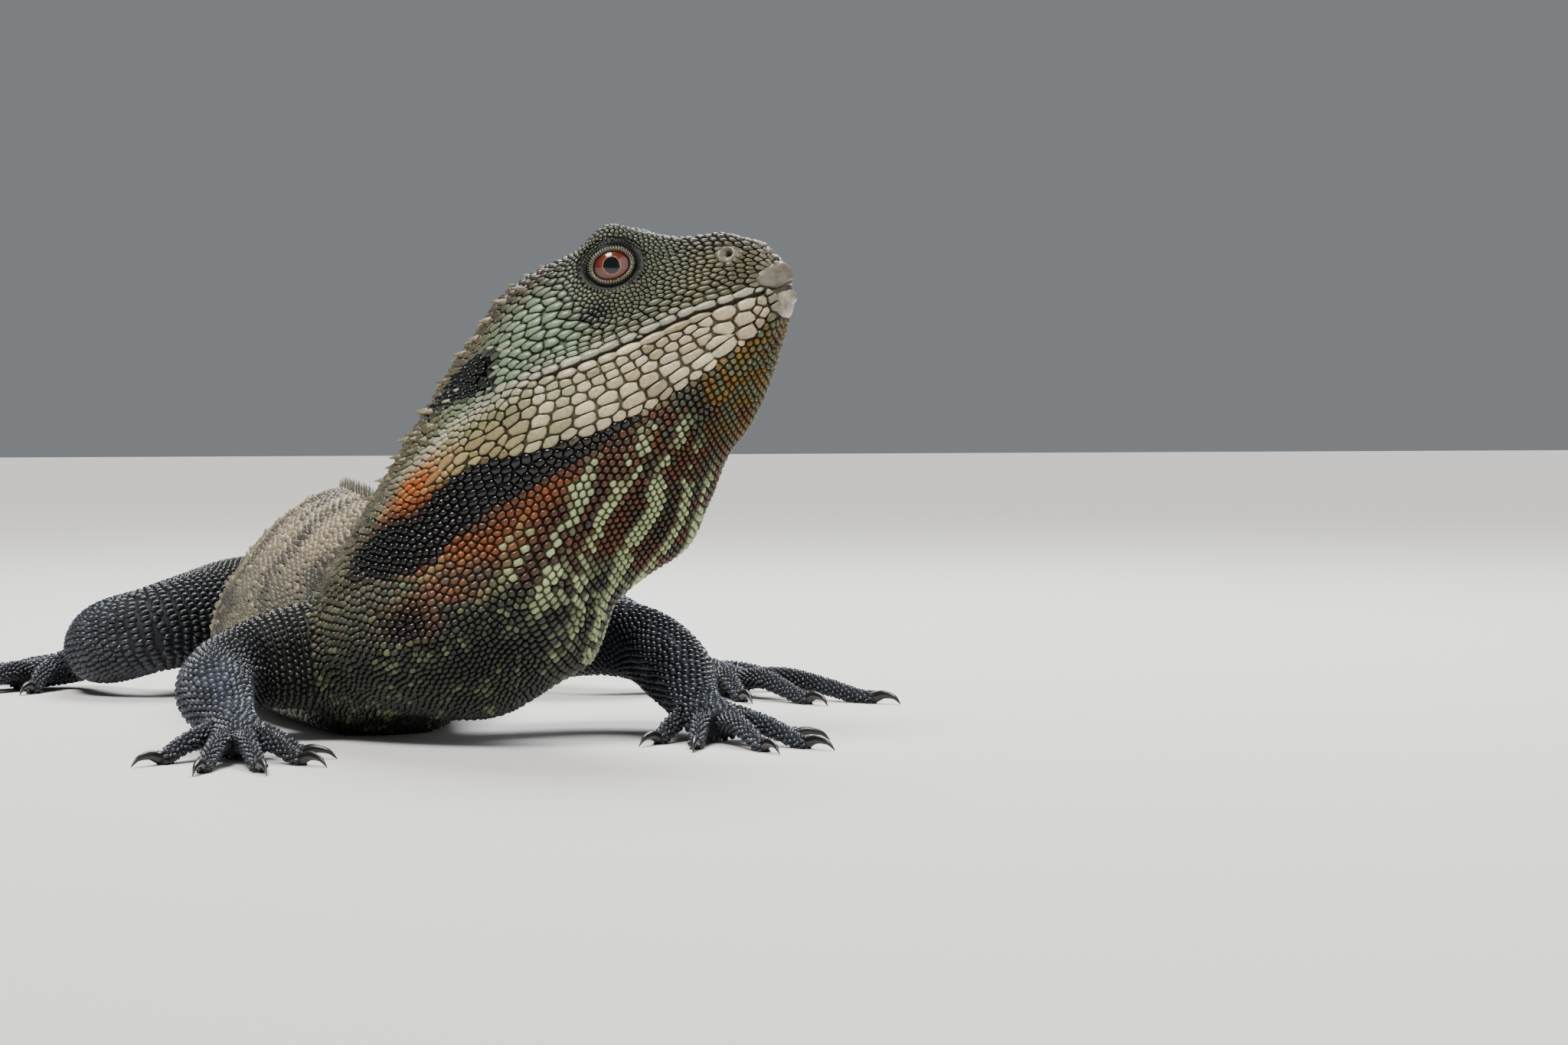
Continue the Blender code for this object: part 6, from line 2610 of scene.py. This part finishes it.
    def trunk_seeds(
        self, t: Array, v: Array, values: Dict[str, Array], rng: np.random.Generator,
    ) -> Seeds:
        """Makes seeds from places of the trunk.

        Args:
            t: distances behind the snout.
            v: turns round the section.
            values: the scales' measures.
            rng: the numbers that vary their colours.

        Returns:
            The seeds.
        """
        p = self.trunk.point(t, v)
        out, lie = self.trunk.directions(t, v)
        tint, gloss = self.marks.colour(t, v, p)
        tint = tint * rng.uniform(0.8, 1.18, len(t))[:, None]
        if "knob" in values:
            tint = mix(tint, self.palette.spine, values["knob"] * 0.4)
        measures = [values[k] for k in ("size", "stretch", "height", "tilt", "keel")]
        return Seeds(p, out, lie, *measures, tint, gloss, np.stack([t, v], -1))

    def roots(
        self, lids: Sequence[Lids], body_tree: BVHTree,
    ) -> Tuple[Seeds, Dict[Coat, Array]]:
        """Gathers all seeds of the body and says which coat each belongs to.

        Args:
            lids: the lids of both eyes.
            body_tree: the body's skin.

        Returns:
            The seeds and, for each coat, its name, slot and cut with its rows.
        """
        rng = np.random.default_rng(41)
        places = HeadRoots(self.trunk, HeadFields(self.trunk), self.eyes).build()
        head = self.trunk_seeds(*places, np.random.default_rng(5))
        fore = head.spot[:, 0] < NECK_SEAM
        roots = BodyRoots(self.trunk, self.marks)
        places = roots.trunk_places()
        body = self.trunk_seeds(*places, rng)
        near_tip = places[0] > TIP_SEAM
        pieces: List[Tuple[str, Seeds]] = [
            ("head", head.pick(fore)),
            ("neck", self.on_skin(head.pick(~fore), body_tree)),
            ("trunk", self.on_skin(body.pick(~near_tip), body_tree)),
            ("tip", body.pick(near_tip)),
        ]
        for limb in self.limbs:
            is_arm, whole = limb.foot.startswith("hand"), float(limb.tube.lengths[-1])
            size = self.limb_scale
            tube = roots.tube_seeds(limb.tube, size, is_arm, 8.0, 0.02, whole, rng)
            group = [settle(tube, body_tree, self.origin, self.limb_limit)]
            for k, toe in enumerate(limb.toes):
                size, band = self.toe_scale, 0.2 + 0.16 * k
                group.append(roots.tube_seeds(toe, size, is_arm, 2.0, band, 0.0, rng))
            pieces.append((limb.name, Seeds.join(group)))
        pieces += [("head", lid.granules(rng)) for lid in lids]
        pieces.append(("ghost", self.ghosts()))
        labels = np.concatenate([[name] * len(group.point) for name, group in pieces])
        seeds = Seeds.join([group for _, group in pieces])
        alive = self.uncrowd(seeds, labels)
        seeds, labels = seeds.pick(alive), labels[alive]
        return seeds, self.groups(seeds, labels)

    def on_skin(self, seeds: Seeds, body_tree: BVHTree) -> Seeds:
        """Settles seeds of the trunk on the body's skin."""
        return settle(seeds, body_tree, self.origin, self.trunk_limit)

    def uncrowd(self, seeds: Seeds, labels: Array) -> Array:
        """Says which seeds stay where two groups of them overlap.

        Args:
            seeds: all seeds.
            labels: the group of each.

        Returns:
            Whether each one stays.
        """
        tree = tree_of(seeds.point)
        alive = np.ones(len(seeds.point), bool)
        order = {name: k for k, name in enumerate(self.ranks)}
        rank = np.array([order.get(name, len(order)) for name in labels])
        for k, p in enumerate(seeds.point):
            if alive[k] and rank[k]:
                for _, other, _ in tree.find_range(p, float(seeds.size[k]) * self.crowd):
                    if rank[other] > rank[k]:
                        alive[other] = False
        return alive

    def ghosts(self) -> Seeds:
        """Gives places that push the scales back from the mouth and the ears.

        Returns:
            Seeds that no coat builds.
        """
        pitch = math.cos(self.trunk.head_pitch)
        ts, vs = [], []
        for side in (RIGHT, LEFT):
            back = np.arange(1.5, 46.5, 1.0)
            angle = ring_angles(22)
            middle_t, wide, middle_up, tall = self.ear_ring
            ear = (middle_t + wide * np.cos(angle)) * pitch
            ts += [back * pitch, ear]
            turns = self.trunk.turn_of_height(ear, middle_up + tall * np.sin(angle))
            vs += [np.full(len(back), side * MOUTH), side * turns]
        t, v = np.concatenate(ts), np.concatenate(vs)
        p = self.trunk.point(t, v)
        out, lie = self.trunk.directions(t, v)
        blank, ones = np.zeros(len(t)), np.ones(len(t))
        tint, _ = self.marks.colour(t, v, p)
        return Seeds(p, out, lie, self.ghost_size * ones, ones, blank, blank, blank, tint, blank,
                     np.stack([t, v], -1))

    def groups(self, seeds: Seeds, labels: Array) -> Dict[Coat, Array]:
        """Splits the seeds among the coats and sets their places on the unwrap.

        Args:
            seeds: all seeds.
            labels: the group of each.

        Returns:
            The rows of each coat.
        """
        t, v = seeds.spot[:, 0], seeds.spot[:, 1]
        head, trunk = labels == "head", labels == "trunk"
        throat = head & (np.abs(v) > 0.69) & (v > -1.01)
        face, torso, right = head & ~throat, trunk & (t < VENT), self.side_of_head(seeds.point) < 0
        found = {
            ("scales_face_right", "head_skin", FACE_CUT): face & right,
            ("scales_face_left", "head_skin", FACE_CUT): face & ~right,
            ("scales_throat", "head_skin", THROAT_CUT): throat,
            ("scales_neck", "neck_skin", THROAT_CUT): labels == "neck",
            ("scales_torso_right", "torso_skin", BODY_CUT): torso & (v < 0),
            ("scales_torso_left", "torso_skin", BODY_CUT): torso & (v >= 0),
            ("scales_tail", "tail_skin", BODY_CUT): (trunk & (t >= VENT)) | (labels == "tip"),
        }
        for limb in self.limbs:
            found[(f"scales_{limb.name}", "limb_skin", BODY_CUT)] = labels == limb.name
        groups = {}
        for key, chosen in found.items():
            rows = np.flatnonzero(chosen)
            low, high = seeds.spot[rows].min(0), seeds.spot[rows].max(0)
            seeds.spot[rows] = 0.01 + 0.98 * (seeds.spot[rows] - low) / (high - low)
            groups[key] = rows
        return groups

    def side_of_head(self, p: Array) -> Array:
        """Measures how far points lie to the head's left, which parts its scales."""
        _, left, _ = self.trunk.axes_at(20.0)
        return (p - self.trunk.head_point(20.0, 0.0, 0.0, LEFT)) @ left

    def tint_skin(self, skin: Piece, seeds: Seeds) -> None:
        """Gives the skin the colours of the scales over it, darker.

        Args:
            skin: the whole skin.
            seeds: all scales.
        """
        tree, mesh = tree_of(seeds.point), skin.data
        co = read_vertices(mesh) / MM - self.origin
        nearest = np.array([tree.find(p)[1] for p in co])
        # Painted shade: the skin in the gaps between scales and along the mouth is darker than the
        # scales over it.
        mark(mesh, "tint", seeds.tint[nearest] * self.skin_shade)
        mark(mesh, "gloss", np.zeros(len(co)))


# ---------------------------------------------------------------- camera, light and floor
@dataclass(frozen=True)
class Lamp:
    """A soft area light aimed at the animal's head."""

    name: str
    place: Tuple[float, float, float]
    size: float
    power: float
    colour: Tuple[float, float, float]


@dataclass
class Studio:
    """Camera, lights and floor. The camera's turn is in degrees."""

    origin: Array
    camera_place: Tuple[float, float, float] = (-128.5, -743.4, 69.0)
    camera_turn: Tuple[float, float, float] = (88.0, 0.0, -16.0)
    lens: float = 85.0
    sensor: float = 36.0
    target: Tuple[float, float, float] = (20.0, -60.0, 60.0)
    lamps: Sequence[Lamp] = (
        Lamp("fill", (640.0, -640.0, 300.0), 0.9, 3.0, (0.95, 0.97, 1.0)),
        Lamp("rim", (240.0, 420.0, 760.0), 0.6, 14.0, (0.97, 0.99, 1.0)),
    )
    sun_power: float = 5.2
    sun_angle: float = 24.0
    sun_colour: Tuple[float, float, float] = (1.0, 0.98, 0.95)
    sun_aim: Tuple[float, float, float] = (280.0, 360.0, -800.0)
    sky: Tuple[float, float, float, float] = (0.86, 0.9, 0.95, 1.0)
    sky_power: float = 0.24
    floor_size: float = 6.0

    def build(self) -> None:
        """Sets everything up."""
        camera = self.stand("camera", bpy.data.cameras.new("camera"), self.camera_place)
        camera.data.lens, camera.data.sensor_width = self.lens, self.sensor
        camera.data.clip_start = 0.02
        camera.rotation_euler = [math.radians(a) for a in self.camera_turn]
        bpy.context.scene.camera = camera
        for lamp in self.lamps:
            light = bpy.data.lights.new(lamp.name, "AREA")
            light.shape, light.size, light.energy = "DISK", lamp.size, lamp.power
            light.color = lamp.colour
            thing = self.stand(lamp.name, light, lamp.place)
            aim = Vector(np.array(self.target) - np.array(lamp.place))
            thing.rotation_euler = aim.to_track_quat("-Z", "Y").to_euler()
        sun = bpy.data.lights.new("key", "SUN")
        sun.energy, sun.angle = self.sun_power, math.radians(self.sun_angle)
        sun.color = self.sun_colour
        key = self.stand("key", sun, -self.origin)
        key.rotation_euler = Vector(self.sun_aim).to_track_quat("-Z", "Y").to_euler()
        world = bpy.data.worlds.new("studio")
        world.use_nodes = True
        background = world.node_tree.nodes["Background"]
        background.inputs["Color"].default_value = self.sky
        background.inputs["Strength"].default_value = self.sky_power
        bpy.context.scene.world = world
        bpy.ops.object.select_all(action="DESELECT")
        bpy.ops.mesh.primitive_plane_add(size=self.floor_size, location=(0.0, 0.0, 0.0))
        floor = bpy.context.active_object
        floor.name = "floor"
        floor.data.materials.append(FloorFinish().build())
        floor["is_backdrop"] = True

    def stand(self, name: str, data: bpy.types.ID, place: Sequence[float]) -> Piece:
        """Makes an object of the studio.

        Args:
            name: its name.
            data: its camera or light.
            place: where it stands, in the animal's own frame.

        Returns:
            The object, linked to the scene.
        """
        thing = bpy.data.objects.new(name, data)
        thing.location = (np.array(place) + self.origin) * MM
        bpy.context.scene.collection.objects.link(thing)
        return thing


def main() -> None:
    """Builds the dressed animal and its studio."""
    logging.basicConfig(level=logging.INFO, format="%(name)s: %(message)s")
    dragon = Dragon()
    dragon.dress()
    Studio(dragon.origin).build()
    sizes = {"cad": CAD_BOX, "visual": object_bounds()}
    {k: [[float(x) for x in corner] for corner in box] for k, box in sizes.items()}


if __name__ == "__main__":
    main()
